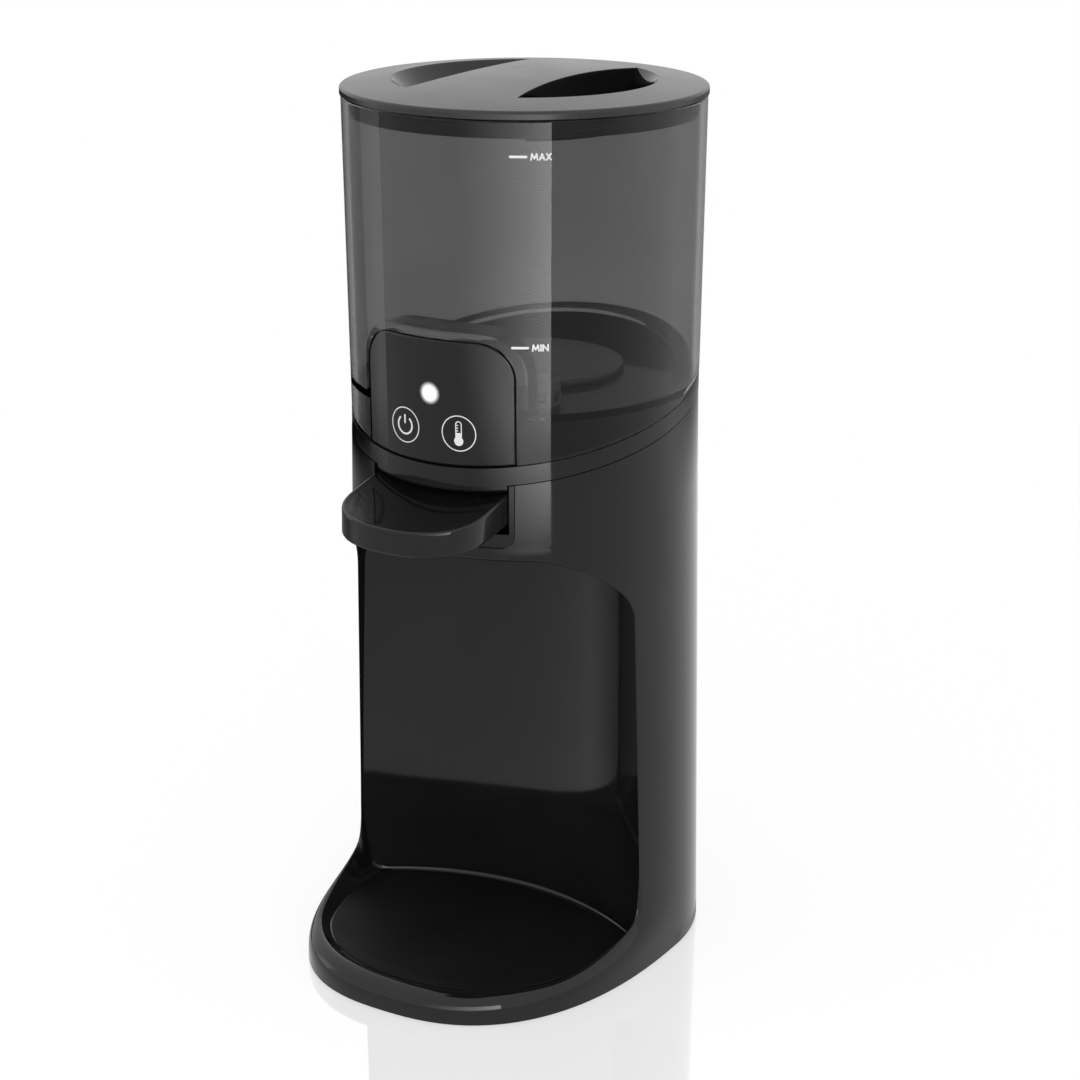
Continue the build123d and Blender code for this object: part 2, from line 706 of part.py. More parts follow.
with BuildPart() as outlet_strainer:
    add(rod(CAGE_R, TANK_FLOOR_Z, TANK_FLOOR_Z + CAGE_H, PORT_X, POUR_Y))
    add(rod(CAGE_R - CAGE_WALL, TANK_FLOOR_Z, CAGE_ROOF_Z, PORT_X, POUR_Y), mode=Mode.SUBTRACT)
    with BuildSketch(level(TANK_FLOOR_Z + CAGE_WALL, PORT_X, POUR_Y)):
        with PolarLocations(CAGE_R, CAGE_SLOTS):
            Rectangle(2 * CAGE_SLOT_W, CAGE_SLOT_W)
    extrude(amount=CAGE_H - 3 * CAGE_WALL, mode=Mode.SUBTRACT)


def grip_face(z, outer_r, waist, tip_y, hand):
    """Almond between the grip's outer circle and the waist of the bridge, on one side."""
    tip_x = math.sqrt(outer_r**2 - tip_y**2)
    with BuildSketch(level(z)) as almond:
        with BuildLine():
            ThreePointArc((hand * tip_x, -tip_y), (hand * outer_r, 0), (hand * tip_x, tip_y))
            ThreePointArc((hand * tip_x, tip_y), (hand * waist, 0), (hand * tip_x, -tip_y))
        make_face()
    return almond.sketch


def grip_scoop(top_z, grow, hand):
    """Finger scoop that slopes in from its outer edge and runs under the bridge."""
    low_z = LID_RIM_Z - GRIP_DEPTH - grow
    with BuildPart() as scoop:
        loft(
            [
                grip_face(
                    low_z,
                    GRIP_OUTER_R - GRIP_SLOPE_IN + grow,
                    GRIP_WAIST_HALF - GRIP_UNDERCUT - grow,
                    GRIP_TIP_Y - GRIP_SLOPE_IN + grow,
                    hand,
                ),
                grip_face(top_z, GRIP_OUTER_R + grow, GRIP_WAIST_HALF - grow, GRIP_TIP_Y + grow, hand),
            ]
        )
    return scoop.part


# Lid: shallow dome with a skirt and two finger scoops beside a bridge
SKIRT_LOW_Z = LID_LOW_Z - LID_SKIRT_H
GROOVE_HIGH_Z = LID_LOW_Z - (LID_SKIRT_H - SEAL_H) / 2
GROOVE_LOW_Z = GROOVE_HIGH_Z - SEAL_H
LID_TOP_Z = LID_RIM_Z + LID_CROWN
with BuildPart() as lid:
    with BuildSketch(side()):
        with BuildLine():
            half_z = LID_RIM_Z + CROWN_AT_HALF * LID_CROWN
            ThreePointArc((0, LID_TOP_Z), (LID_R / 2, half_z), (LID_R, LID_RIM_Z))
            Polyline(
                (LID_R, LID_RIM_Z),
                (LID_R, LID_LOW_Z),
                (LID_SKIRT_R, LID_LOW_Z),
                (LID_SKIRT_R, SKIRT_LOW_Z),
                (LID_SKIRT_R - LID_SKIRT_T, SKIRT_LOW_Z),
                (LID_SKIRT_R - LID_SKIRT_T, LID_LOW_Z),
                (0, LID_TOP_Z - LID_PLATE_T),
                (0, LID_TOP_Z),
            )
        make_face()
    revolve(axis=post())
    crown = lid.faces().sort_by(Axis.Z)[-1]
    fillet(crown.edges(), LID_EDGE_ROUND)
    for hand in (-1, 1):
        add(grip_scoop(LID_RIM_Z, GRIP_WALL, hand))
    for hand in (-1, 1):
        add(grip_scoop(LID_TOP_Z, 0, hand), mode=Mode.SUBTRACT)
    add(ring(LID_R, LID_SKIRT_R - SEAL_GROOVE, GROOVE_LOW_Z, GROOVE_HIGH_Z), mode=Mode.SUBTRACT)

with BuildPart() as lid_seal:
    seal_in = LID_SKIRT_R - SEAL_GROOVE + PIN_FIT
    add(ring(LID_SKIRT_R + SEAL_LIP, seal_in, GROOVE_LOW_Z + PIN_FIT, GROOVE_HIGH_Z - PIN_FIT))

# Lever bezel: flush plate round the lever's slot
with BuildPart() as lever_bezel:
    with BuildSketch(front(TOWER_BACK_Y)) as plate:
        with Locations((0, (BEZEL_LOW_Z + SEAM + COLLAR_TOP_Z) / 2)):
            Rectangle(2 * (BEZEL_HALF - SEAM), COLLAR_TOP_Z - BEZEL_LOW_Z - SEAM)
        fillet(plate.vertices().group_by(Axis.Y)[0], BEZEL_CORNER_R)
        with Locations((0, (LEVER_SLOT_LOW_Z + FAR + COLLAR_TOP_Z) / 2)):
            Rectangle(2 * LEVER_SLOT_HALF, FAR + COLLAR_TOP_Z - LEVER_SLOT_LOW_Z, mode=Mode.SUBTRACT)
    extrude(amount=FAR)
    outer = body_radius(BEZEL_LOW_Z) - SEAM
    add(ring(outer, outer - BEZEL_T, BODY_LOW_Z, BODY_HIGH_Z), mode=Mode.INTERSECT)
    split(bisect_by=seam_plane(COLLAR_LOW_Z), keep=Keep.BOTTOM)

# Lever: tilted half-moon paddle with a dished top, hub and lifting fork
LEVER_PLANE = Plane(origin=(0, AXIS_Y + LEVER_ROOT_Y, LEVER_TOP_Z), x_dir=(1, 0, 0), z_dir=SEAM_NORMAL)
with BuildPart() as lever:
    with BuildSketch(LEVER_PLANE) as paddle:
        with BuildLine():
            Polyline(
                (-LEVER_HALF, -LEVER_STRAIGHT),
                (-LEVER_HALF, LEVER_CHEEK),
                (LEVER_HALF, LEVER_CHEEK),
                (LEVER_HALF, -LEVER_STRAIGHT),
            )
            ThreePointArc((-LEVER_HALF, -LEVER_STRAIGHT), (0, -LEVER_LENGTH), (LEVER_HALF, -LEVER_STRAIGHT))
        make_face()
        fillet(paddle.vertices().group_by(Axis.Y)[0], LEVER_CORNER_R)
    extrude(amount=-LEVER_T)
    with BuildSketch(LEVER_PLANE):
        add(paddle.sketch_local)
        offset(amount=-LEVER_RIM, mode=Mode.REPLACE)
    extrude(amount=-LEVER_DISH_DEPTH, mode=Mode.SUBTRACT)
    along_up = Axis(LEVER_PLANE.origin, LEVER_PLANE.z_dir)
    level_faces = lever.faces().filter_by(LEVER_PLANE).sort_by(along_up)
    fillet(level_faces[-1].edges() + level_faces[0].edges(), LEVER_ROUND)
    notch_y = PIVOT_Y - EAR_REACH - LEVER_SWING
    for low in (-EAR_IN - EAR_T - EAR_GAP, HUB_HALF):
        add(
            block((low, low + EAR_T + 2 * EAR_GAP), (notch_y, FORK_BACK_Y), (BEZEL_LOW_Z, COLLAR_LOW_Z)),
            mode=Mode.SUBTRACT,
        )
    neck_z = (PIVOT_Z - HUB_R + PIN_R, PIVOT_Z + PIN_R)
    add(cross_rod(HUB_R, HUB_HALF, PIVOT_Y, PIVOT_Z))
    add(block((-HUB_HALF, HUB_HALF), (LEVER_ROOT_Y - LEVER_RIM, PIVOT_Y), neck_z))
    fork_z = (FORK_TOP_Z - FORK_T, FORK_TOP_Z)
    for low in (-FORK_OUT, FORK_IN):
        add(block((low, low + FORK_OUT - FORK_IN), (PIVOT_Y, FORK_BACK_Y), fork_z))
    add(cross_rod(PIN_R + PIN_FIT, HUB_HALF, PIVOT_Y, PIVOT_Z), mode=Mode.SUBTRACT)

with BuildPart() as lever_pin:
    add(cross_rod(PIN_R, EAR_IN + EAR_T, PIVOT_Y, PIVOT_Z))

# Lift valve: body on the niche ceiling, rubber nozzle, plunger with its seal, diaphragm and cap
DIAPHRAGM_TOP_Z = CHAMBER_TOP_Z + DIAPHRAGM_T
CAP_TOP_Z = DIAPHRAGM_TOP_Z + CAP_T
LIFT_PIN_Z = FORK_TOP_Z + LIFT_GAP + LIFT_PIN_R
SEAT_LOW_Z = LIFT_PIN_Z + LIFT_PIN_R + LIFT_GAP
SEAT_TOP_Z = SEAT_LOW_Z + SPRING_SEAT_T


def side_rod(radius, low, high, z):
    """Rod lying left to right over the pouring axis, between two places."""
    with BuildPart() as body:
        with BuildSketch(side(low, POUR_Y)):
            with Locations((0, z)):
                Circle(radius)
        extrude(amount=high - low)
    return body.part


with BuildPart() as valve_body:
    add(rod(VALVE_R, NICHE_ROOF_Z, CHAMBER_TOP_Z, 0, POUR_Y))
    add(rod(SPIGOT_R, SPIGOT_LOW_Z, NICHE_ROOF_Z, 0, POUR_Y))
    add(side_rod(BARB_R, 0, VALVE_R + BARB_L, INLET_Z))
    add(rod(CHAMBER_R, CHAMBER_FLOOR_Z, CHAMBER_TOP_Z, 0, POUR_Y), mode=Mode.SUBTRACT)
    add(rod(OUTLET_BORE_R, SPIGOT_LOW_Z, CHAMBER_FLOOR_Z, 0, POUR_Y), mode=Mode.SUBTRACT)
    add(side_rod(FEED_BORE_R, 0, VALVE_R + BARB_L, INLET_Z), mode=Mode.SUBTRACT)

with BuildPart() as nozzle:
    grip_r = SPIGOT_R + PIN_FIT
    nozzle_top = NICHE_ROOF_Z - SEAM
    add(
        turned(
            [
                (OUTLET_BORE_R, NOZZLE_LOW_Z),
                (NOZZLE_TIP_R, NOZZLE_LOW_Z),
                (NOZZLE_R, nozzle_top),
                (grip_r, nozzle_top),
                (grip_r, SPIGOT_LOW_Z - PIN_FIT),
                (OUTLET_BORE_R, SPIGOT_LOW_Z - PIN_FIT),
            ],
            0,
            POUR_Y,
        )
    )

with BuildPart() as valve_plunger:
    add(rod(STEM_R, CHAMBER_FLOOR_Z + SEAL_DISC_T, STEM_TOP_Z, 0, POUR_Y))
    add(side_rod(LIFT_PIN_R, -FORK_OUT, FORK_OUT, LIFT_PIN_Z))
    add(rod(SPRING_SEAT_R, SEAT_LOW_Z, SEAT_TOP_Z, 0, POUR_Y))

with BuildPart() as plunger_seal:
    add(rod(SEAL_DISC_R, CHAMBER_FLOOR_Z, CHAMBER_FLOOR_Z + SEAL_DISC_T, 0, POUR_Y))

with BuildPart() as valve_diaphragm:
    add(ring(VALVE_R, STEM_R + STEM_FIT, CHAMBER_TOP_Z, DIAPHRAGM_TOP_Z, 0, POUR_Y))

with BuildPart() as valve_cap:
    add(ring(VALVE_R, STEM_R + STEM_FIT, DIAPHRAGM_TOP_Z, CAP_TOP_Z, 0, POUR_Y))

with BuildPart() as valve_spring:
    add(coil(SPRING_R, SPRING_WIRE_R, SEAT_TOP_Z, DECK_LOW_Z, SPRING_TURNS, 0, POUR_Y))

# Feed: socket under the deck, its gasket, and the hose to the valve
SOCKET_LOW_Z = SOCKET_FLOOR_Z - SOCKET_FLOOR_T
BARB_LOW_Z = SOCKET_LOW_Z - BARB_L
with BuildPart() as tank_socket:
    add(rod(SOCKET_R, SOCKET_LOW_Z, DECK_LOW_Z, PORT_X, POUR_Y))
    add(rod(BARB_R, BARB_LOW_Z, SOCKET_LOW_Z, PORT_X, POUR_Y))
    add(rod(SOCKET_BORE_R, SOCKET_FLOOR_Z, DECK_LOW_Z, PORT_X, POUR_Y), mode=Mode.SUBTRACT)
    add(rod(FEED_BORE_R, BARB_LOW_Z, SOCKET_FLOOR_Z, PORT_X, POUR_Y), mode=Mode.SUBTRACT)
    add(
        block(
            (PORT_X - BARB_R, PORT_X + BARB_R),
            (POUR_Y - RIB_HALF, POUR_Y + RIB_HALF),
            (SOCKET_LOW_Z, SOCKET_FLOOR_Z),
        )
    )

with BuildPart() as socket_gasket:
    gasket_r = SOCKET_BORE_R - PIN_FIT
    add(ring(gasket_r, PORT_BORE_R, SOCKET_FLOOR_Z, SOCKET_FLOOR_Z + GASKET_T, PORT_X, POUR_Y))


def hose_run(radius):
    """Bent rod from the socket's barb down and across to the valve's barb."""
    start = (PORT_X, SOCKET_LOW_Z - SEAM)
    with BuildPart() as body:
        with BuildLine(front(POUR_Y)) as route:
            FilletPolyline(start, (PORT_X, INLET_Z), (VALVE_R + SEAM, INLET_Z), radius=HOSE_BEND_R)
        with BuildSketch(Plane(origin=route.line @ 0, z_dir=route.line % 0)):
            Circle(radius)
        sweep()
    return body.part


with BuildPart() as feed_hose:
    add(hose_run(BARB_R + PIN_FIT + HOSE_WALL))
    add(hose_run(BARB_R + PIN_FIT), mode=Mode.SUBTRACT)

# Heater under the deck, its element and the temperature sensor
HEATER_LOW_Z = DECK_LOW_Z - HEATER_FLANGE_T
with BuildPart() as heater_disc:
    add(rod(HEATER_R, DECK_LOW_Z, DECK_TOP_Z, 0, HEAT_Y))
    add(rod(HEATER_R + HEATER_FLANGE, HEATER_LOW_Z, DECK_LOW_Z, 0, HEAT_Y))

with BuildPart() as heater_element:
    with BuildSketch(side(0, HEAT_Y)):
        with Locations((COIL_R, HEATER_LOW_Z - COIL_TUBE_R - PIN_FIT)):
            Circle(COIL_TUBE_R)
    revolve(axis=post(0, HEAT_Y), revolution_arc=COIL_ARC)

with BuildPart() as temperature_sensor:
    add(rod(SENSOR_R, HEATER_LOW_Z - SENSOR_H, HEATER_LOW_Z, 0, HEAT_Y))

# Power side: main board in the posts, and the inlet in the back of the housing
with BuildPart() as main_board:
    board_half = BOARD_T / 2
    add(
        block(
            (-MAIN_BOARD_HALF, MAIN_BOARD_HALF),
            (MAIN_BOARD_Y - board_half, MAIN_BOARD_Y + board_half),
            (MAIN_BOARD_LOW_Z, MAIN_BOARD_HIGH_Z),
        )
    )
    for (x, z), (wide, deep, high) in BOARD_PARTS:
        add(
            block(
                (x - wide / 2, x + wide / 2),
                (MAIN_BOARD_Y + board_half, MAIN_BOARD_Y + board_half + deep),
                (z, z + high),
            )
        )

with BuildPart() as power_inlet:
    box_x = (-INLET_BOX_HALF, INLET_BOX_HALF)
    box_z = (INLET_BOX_LOW_Z, INLET_BOX_HIGH_Z)
    add(block(box_x, (INLET_FRONT_Y, INLET_BACK_Y), box_z))
    flange_y = INLET_BACK_Y - INLET_FLANGE_SET
    add(
        block(
            (box_x[0] - INLET_FLANGE, box_x[1] + INLET_FLANGE),
            (flange_y - INLET_FLANGE_T, flange_y),
            (box_z[0] - INLET_FLANGE, box_z[1] + INLET_FLANGE),
        )
    )
    cavity_y = INLET_BACK_Y - INLET_CAVITY_DEPTH
    add(
        block(
            (box_x[0] + INLET_CAVITY, box_x[1] - INLET_CAVITY),
            (cavity_y, INLET_BACK_Y),
            (box_z[0] + INLET_CAVITY, box_z[1] - INLET_CAVITY),
        ),
        mode=Mode.SUBTRACT,
    )
    for x in (-CONTACT_HALF, CONTACT_HALF):
        with BuildSketch(front(INLET_BACK_Y - INLET_CAVITY)):
            with Locations((x, sum(box_z) / 2)):
                Circle(CONTACT_R)
        extrude(amount=INLET_CAVITY_DEPTH - INLET_CAVITY)

PIECES = {
    "base_housing": base_housing,
    "niche_liner": niche_liner,
    "bottom_plate": bottom_plate,
    "rubber_feet": rubber_feet,
    "base_screws": base_screws,
    "collar_ring": collar_ring,
    "deck_frame": deck_frame,
    "control_panel": control_panel,
    "touch_board": touch_board,
    "status_light": status_light,
    "light_guide": light_guide,
    "tank": tank,
    "heat_plate": heat_plate,
    "heat_plate_gasket": heat_plate_gasket,
    "tank_poppet": tank_poppet,
    "poppet_seal": poppet_seal,
    "poppet_spring": poppet_spring,
    "outlet_strainer": outlet_strainer,
    "lid": lid,
    "lid_seal": lid_seal,
    "lever_bezel": lever_bezel,
    "lever": lever,
    "lever_pin": lever_pin,
    "valve_body": valve_body,
    "nozzle": nozzle,
    "valve_plunger": valve_plunger,
    "plunger_seal": plunger_seal,
    "valve_diaphragm": valve_diaphragm,
    "valve_cap": valve_cap,
    "valve_spring": valve_spring,
    "tank_socket": tank_socket,
    "socket_gasket": socket_gasket,
    "feed_hose": feed_hose,
    "heater_disc": heater_disc,
    "heater_element": heater_element,
    "temperature_sensor": temperature_sensor,
    "main_board": main_board,
    "power_inlet": power_inlet,
}
for name, piece in PIECES.items():
    piece.part.label = name
    export_step(piece.part, f"parts/{name}.step")
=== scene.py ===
# %% [markdown]
# A countertop water dispenser, dressed for the camera.
# The solids come from CAD and already have the right shape, so this lesson adds what CAD does not
# hold: finishes, soft edges, printed marks, a lit spot, a studio and a camera. We load the solids
# first, because every later step measures from them.

# %% Load the solids
import math

import bmesh
import bpy
import numpy as np
from mathutils import Matrix, Vector


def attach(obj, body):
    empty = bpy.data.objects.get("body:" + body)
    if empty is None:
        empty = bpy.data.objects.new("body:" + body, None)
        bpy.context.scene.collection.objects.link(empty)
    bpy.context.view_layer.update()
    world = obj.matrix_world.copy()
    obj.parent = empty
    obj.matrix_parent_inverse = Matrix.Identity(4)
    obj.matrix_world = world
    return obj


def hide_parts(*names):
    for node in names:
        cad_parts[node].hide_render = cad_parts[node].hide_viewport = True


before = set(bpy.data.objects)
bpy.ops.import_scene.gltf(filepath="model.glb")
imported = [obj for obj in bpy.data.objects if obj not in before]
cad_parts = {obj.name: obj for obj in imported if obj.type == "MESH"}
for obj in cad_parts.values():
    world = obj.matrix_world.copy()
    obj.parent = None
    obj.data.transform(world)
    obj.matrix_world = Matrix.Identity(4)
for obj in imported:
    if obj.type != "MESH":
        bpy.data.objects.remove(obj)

for leftover in ("Cube", "Light", "Camera"):
    if leftover in bpy.data.objects:
        bpy.data.objects.remove(bpy.data.objects[leftover])

scene = bpy.context.scene
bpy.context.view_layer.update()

# %% [markdown]
# The camera stands a metre away, to the right of the front and a little above the lid. A long
# lens keeps the upright sides almost parallel, as product pictures do. The view direction is
# built from two angles, so it is easy to change one of them and see what moves.

# %% Camera
TANK_SPOT = Vector((0.0, 0.0183, 0.0))
CAMERA_SPOT = Vector((0.51757, -0.83806, 0.50492))
CAMERA_TURN = math.radians(120.797)
CAMERA_DIP = math.radians(18.541)
CAMERA_LENS_MM = 84.15
SENSOR_MM = 36.0


def stand(spot, right, upward, back):
    """Matrix of an object at a spot whose own x, y and z axes point right, upward and back."""
    return Matrix.Translation(spot) @ Matrix((right, upward, back)).transposed().to_4x4()


look = Vector((
    math.cos(CAMERA_TURN) * math.cos(CAMERA_DIP),
    math.sin(CAMERA_TURN) * math.cos(CAMERA_DIP),
    -math.sin(CAMERA_DIP),
))
camera_right = look.cross(Vector((0, 0, 1))).normalized()
camera = bpy.data.objects.new("camera", bpy.data.cameras.new("camera"))
camera.data.lens = CAMERA_LENS_MM
camera.data.sensor_width = SENSOR_MM
camera.matrix_world = stand(CAMERA_SPOT, camera_right, camera_right.cross(look), -look)
scene.collection.objects.link(camera)
scene.camera = camera
scene.view_settings.view_transform = "Standard"
print("camera to foot of the tank axis:", round((CAMERA_SPOT - TANK_SPOT).length, 3), "m")

# %% [markdown]
# Gloss black plastic has hardly any colour of its own. What we see on it is the studio: the
# floor, the backdrop and the lamps. So the studio is built before the finishes. Each surface of the
# studio may answer differently to a ray from the camera and to a ray that bounced off the
# object; the Light Path node tells the two apart. A few helpers keep the node trees readable.


# %% A small kit for node trees
def add_node(tree, kind, **inputs):
    """Adds a node and sets its named inputs, so that a tree reads as a list of parts."""
    node = tree.nodes.new(kind)
    for name, value in inputs.items():
        node.inputs[name.replace("_", " ")].default_value = value
    return node


def join(tree, source, target):
    tree.links.new(source, target)


def span(tree, source, low, high, out_low, out_high, smooth=False):
    """Maps a value from one range to another, held at the ends, in a line or in a soft S."""
    node = add_node(tree, "ShaderNodeMapRange", From_Min=low, From_Max=high, To_Min=out_low, To_Max=out_high)
    if smooth:
        node.interpolation_type = "SMOOTHSTEP"
    join(tree, source, node.inputs["Value"])
    return node.outputs["Result"]


def math_step(tree, operation, first, second):
    """One step of arithmetic on two signals."""
    node = add_node(tree, "ShaderNodeMath")
    node.operation = operation
    join(tree, first, node.inputs[0])
    join(tree, second, node.inputs[1])
    return node


def add_up(tree, first, *others):
    """Sum of several 0 or 1 signals, held to 1."""
    total = first
    for other in others:
        node = math_step(tree, "ADD", total, other)
        node.use_clamp = True
        total = node.outputs[0]
    return total


def times(tree, first, second):
    """Product of two signals."""
    return math_step(tree, "MULTIPLY", first, second).outputs[0]


def vector_step(tree, operation, vector, other=None):
    """One step of vector arithmetic on a vector and a constant one."""
    node = add_node(tree, "ShaderNodeVectorMath")
    node.operation = operation
    join(tree, vector, node.inputs[0])
    if other is not None:
        node.inputs[1].default_value = other
    return node


def toward(tree, vector, direction):
    """How far a vector points along a direction: their dot product."""
    return vector_step(tree, "DOT_PRODUCT", vector, direction).outputs["Value"]


def length_of(tree, vector):
    return vector_step(tree, "LENGTH", vector).outputs["Value"]


def mix_shaders(tree, amount, first, second):
    node = add_node(tree, "ShaderNodeMixShader")
    join(tree, amount, node.inputs[0])
    join(tree, first, node.inputs[1])
    join(tree, second, node.inputs[2])
    return node.outputs[0]


def add_shaders(tree, first, second):
    node = add_node(tree, "ShaderNodeAddShader")
    join(tree, first, node.inputs[0])
    join(tree, second, node.inputs[1])
    return node.outputs[0]


def object_place(tree):
    """Where a point of the surface is, in metres."""
    return add_node(tree, "ShaderNodeTexCoord").outputs["Object"]


# %% World: white to look at, softer as a lamp
ROOM_LIGHT = 0.62

world = bpy.data.worlds.new("white_room")
world.use_nodes = True
scene.world = world
room = world.node_tree
room.nodes.clear()
room_path = add_node(room, "ShaderNodeLightPath")
room_seen = add_up(
    room,
    room_path.outputs["Is Camera Ray"],
    room_path.outputs["Is Glossy Ray"],
    room_path.outputs["Is Transmission Ray"],
)
room_glow = add_node(room, "ShaderNodeBackground", Color=(1, 1, 1, 1))
join(room, span(room, room_seen, 0, 1, ROOM_LIGHT, 1.0), room_glow.inputs["Strength"])
join(room, room_glow.outputs[0], add_node(room, "ShaderNodeOutputWorld").inputs["Surface"])
print("room light for matt surfaces:", ROOM_LIGHT)

# %% [markdown]
# The floor is a wide disc. Near the object it is part matt, so it takes a shadow, and part
# mirror, so the foot is reflected in it; farther out it fades into plain white. The gloss black
# base mirrors this floor, greyer in front and white behind, and that is what shades the column.
# Two dark parts, far behind and behind on the left, keep the tank's edges from flaring. Only
# reflections see them.

# %% Floor shape
FLOOR_R = 9.0
FLOOR_COUNT = 96


def pane_to_disc(count):
    """Square grid of (u, v) from -1 to 1 pressed into a round disc, with no pole in the middle.

    x is u times the root of 1 - v*v/2, and y is v times the root of 1 - u*u/2.
    """
    side = np.linspace(-1, 1, count)
    u, v = np.meshgrid(side, side)
    return np.stack([u * np.sqrt(1 - v * v / 2), v * np.sqrt(1 - u * u / 2)], axis=-1)


def grid_quads(rows, columns, close=False):
    """Corner numbers of the quads of a grid; close joins the last row to the first."""
    numbers = np.arange(rows * columns).reshape(rows, columns)
    if close:
        numbers = np.vstack([numbers, numbers[:1]])
    corners = (numbers[:-1, :-1], numbers[:-1, 1:], numbers[1:, 1:], numbers[1:, :-1])
    return np.stack(corners, axis=-1).reshape(-1, 4)


def mesh_object(name, parts, finish):
    """One object from several (points, faces) arrays."""
    points = np.concatenate([np.reshape(p, (-1, 3)) for p, _ in parts])
    starts = np.cumsum([0] + [np.size(p) // 3 for p, _ in parts])
    faces = [row for (_, f), start in zip(parts, starts) for row in (f + start).tolist()]
    mesh = bpy.data.meshes.new(name)
    mesh.from_pydata(points.tolist(), [], faces)
    mesh.materials.append(finish)
    made = bpy.data.objects.new(name, mesh)
    scene.collection.objects.link(made)
    return made


def new_finish(name):
    """A blank node material: returns the material and its tree."""
    finish = bpy.data.materials.new(name)
    finish.use_nodes = True
    finish.node_tree.nodes.clear()
    return finish, finish.node_tree


floor_finish, tree = new_finish("studio_floor")
floor_flat = FLOOR_R * pane_to_disc(FLOOR_COUNT)
floor_points = np.concatenate([floor_flat, np.zeros(floor_flat.shape[:2] + (1,))], axis=-1)
floor = mesh_object("floor", [(floor_points, grid_quads(FLOOR_COUNT, FLOOR_COUNT))], floor_finish)
print("floor:", len(floor.data.polygons), "faces,", 2 * FLOOR_R, "m across")

# %% Floor as the camera sees it
FLOOR_GLOW = 0.65
FLOOR_MATT = 0.24
FLOOR_MIRROR = 0.20
MIRROR_ROUGH = 0.03
FADE_START = 0.25
FADE_END = 0.9

floor_place = object_place(tree)
floor_far = length_of(tree, floor_place)
floor_matt = add_node(tree, "ShaderNodeBsdfDiffuse", Color=(FLOOR_MATT, FLOOR_MATT, FLOOR_MATT, 1))
floor_glow = add_node(tree, "ShaderNodeEmission", Strength=FLOOR_GLOW)
floor_mirror = add_node(
    tree, "ShaderNodeBsdfGlossy", Color=(FLOOR_MIRROR, FLOOR_MIRROR, FLOOR_MIRROR, 1), Roughness=MIRROR_ROUGH
)
lit_floor = add_shaders(tree, floor_matt.outputs[0], floor_glow.outputs[0])
near_floor = add_shaders(tree, lit_floor, floor_mirror.outputs[0])
far_floor = add_node(tree, "ShaderNodeEmission", Strength=1.0)
floor_fade = span(tree, floor_far, FADE_START, FADE_END, 0.0, 1.0)
to_camera = mix_shaders(tree, floor_fade, near_floor, far_floor.outputs[0])
print("floor fades to white between", FADE_START, "and", FADE_END, "m")

# %% Floor as gloss and glass see it
FRONT_FLOOR = 0.62
FRONT_Y = -0.35
BACK_FLOOR = 1.0
BACK_Y = 0.6
LEFT_BACK = (-0.9464, 0.3231, 0.0)
LEFT_BACK_DARK = 0.75
LEFT_BACK_EDGE = (0.72, 0.9)  # cosines between which it darkens
STRAIGHT_BACK = (-0.5173, 0.8558, 0.0)
FAR_BACK_DARK = 0.75
FAR_BACK_EDGE = (0.3, 0.7)  # cosines again
FAR_START = 0.7
FAR_END = 0.95
FLOOR_BOUNCE = 0.75

floor_ray = add_node(tree, "ShaderNodeLightPath")
heading = vector_step(tree, "NORMALIZE", floor_place).outputs["Vector"]
left_dark = span(tree, toward(tree, heading, LEFT_BACK), *LEFT_BACK_EDGE, 0.0, LEFT_BACK_DARK)
back_dark = span(tree, toward(tree, heading, STRAIGHT_BACK), *FAR_BACK_EDGE, 0.0, FAR_BACK_DARK)
far_dark = times(tree, span(tree, floor_far, FAR_START, FAR_END, 0.0, 1.0), back_dark)
darker = times(tree, add_up(tree, left_dark, far_dark), floor_ray.outputs["Is Reflection Ray"])
front_to_back = span(tree, toward(tree, floor_place, (0, 1, 0)), FRONT_Y, BACK_Y, FRONT_FLOOR, BACK_FLOOR)
to_gloss = add_node(tree, "ShaderNodeEmission")
join(tree, times(tree, front_to_back, span(tree, darker, 0, 1, 1, 0)), to_gloss.inputs["Strength"])
to_matt = add_node(tree, "ShaderNodeBsdfDiffuse", Color=(FLOOR_BOUNCE, FLOOR_BOUNCE, FLOOR_BOUNCE, 1))
gloss_ray = add_up(tree, floor_ray.outputs["Is Glossy Ray"], floor_ray.outputs["Is Transmission Ray"])
to_object = mix_shaders(tree, gloss_ray, to_matt.outputs[0], to_gloss.outputs[0])
floor_surface = mix_shaders(tree, floor_ray.outputs["Is Camera Ray"], to_object, to_camera)
join(tree, floor_surface, add_node(tree, "ShaderNodeOutputMaterial").inputs["Surface"])
print("mirrored floor from", FRONT_FLOOR, "in front to", BACK_FLOOR, "behind")

# %% [markdown]
# Two upright soft boxes stand on the floor round the front. A round gloss body squeezes each of
# them into a tall thin stripe, so a box that fades from one side to the other gives the
# stripe one sharp edge and one soft edge. The lamp's own Parametric coordinates carry the fade.
# The boxes are hidden from the camera and from rays that come out of the clear tank, so that no
# white board shows behind it.

# %% Soft boxes
FOOT_FADE = 0.06
LAMP_LIFT = 0.002
CAMERA_AZIMUTH = math.atan2(CAMERA_SPOT.y - TANK_SPOT.y, CAMERA_SPOT.x - TANK_SPOT.x)


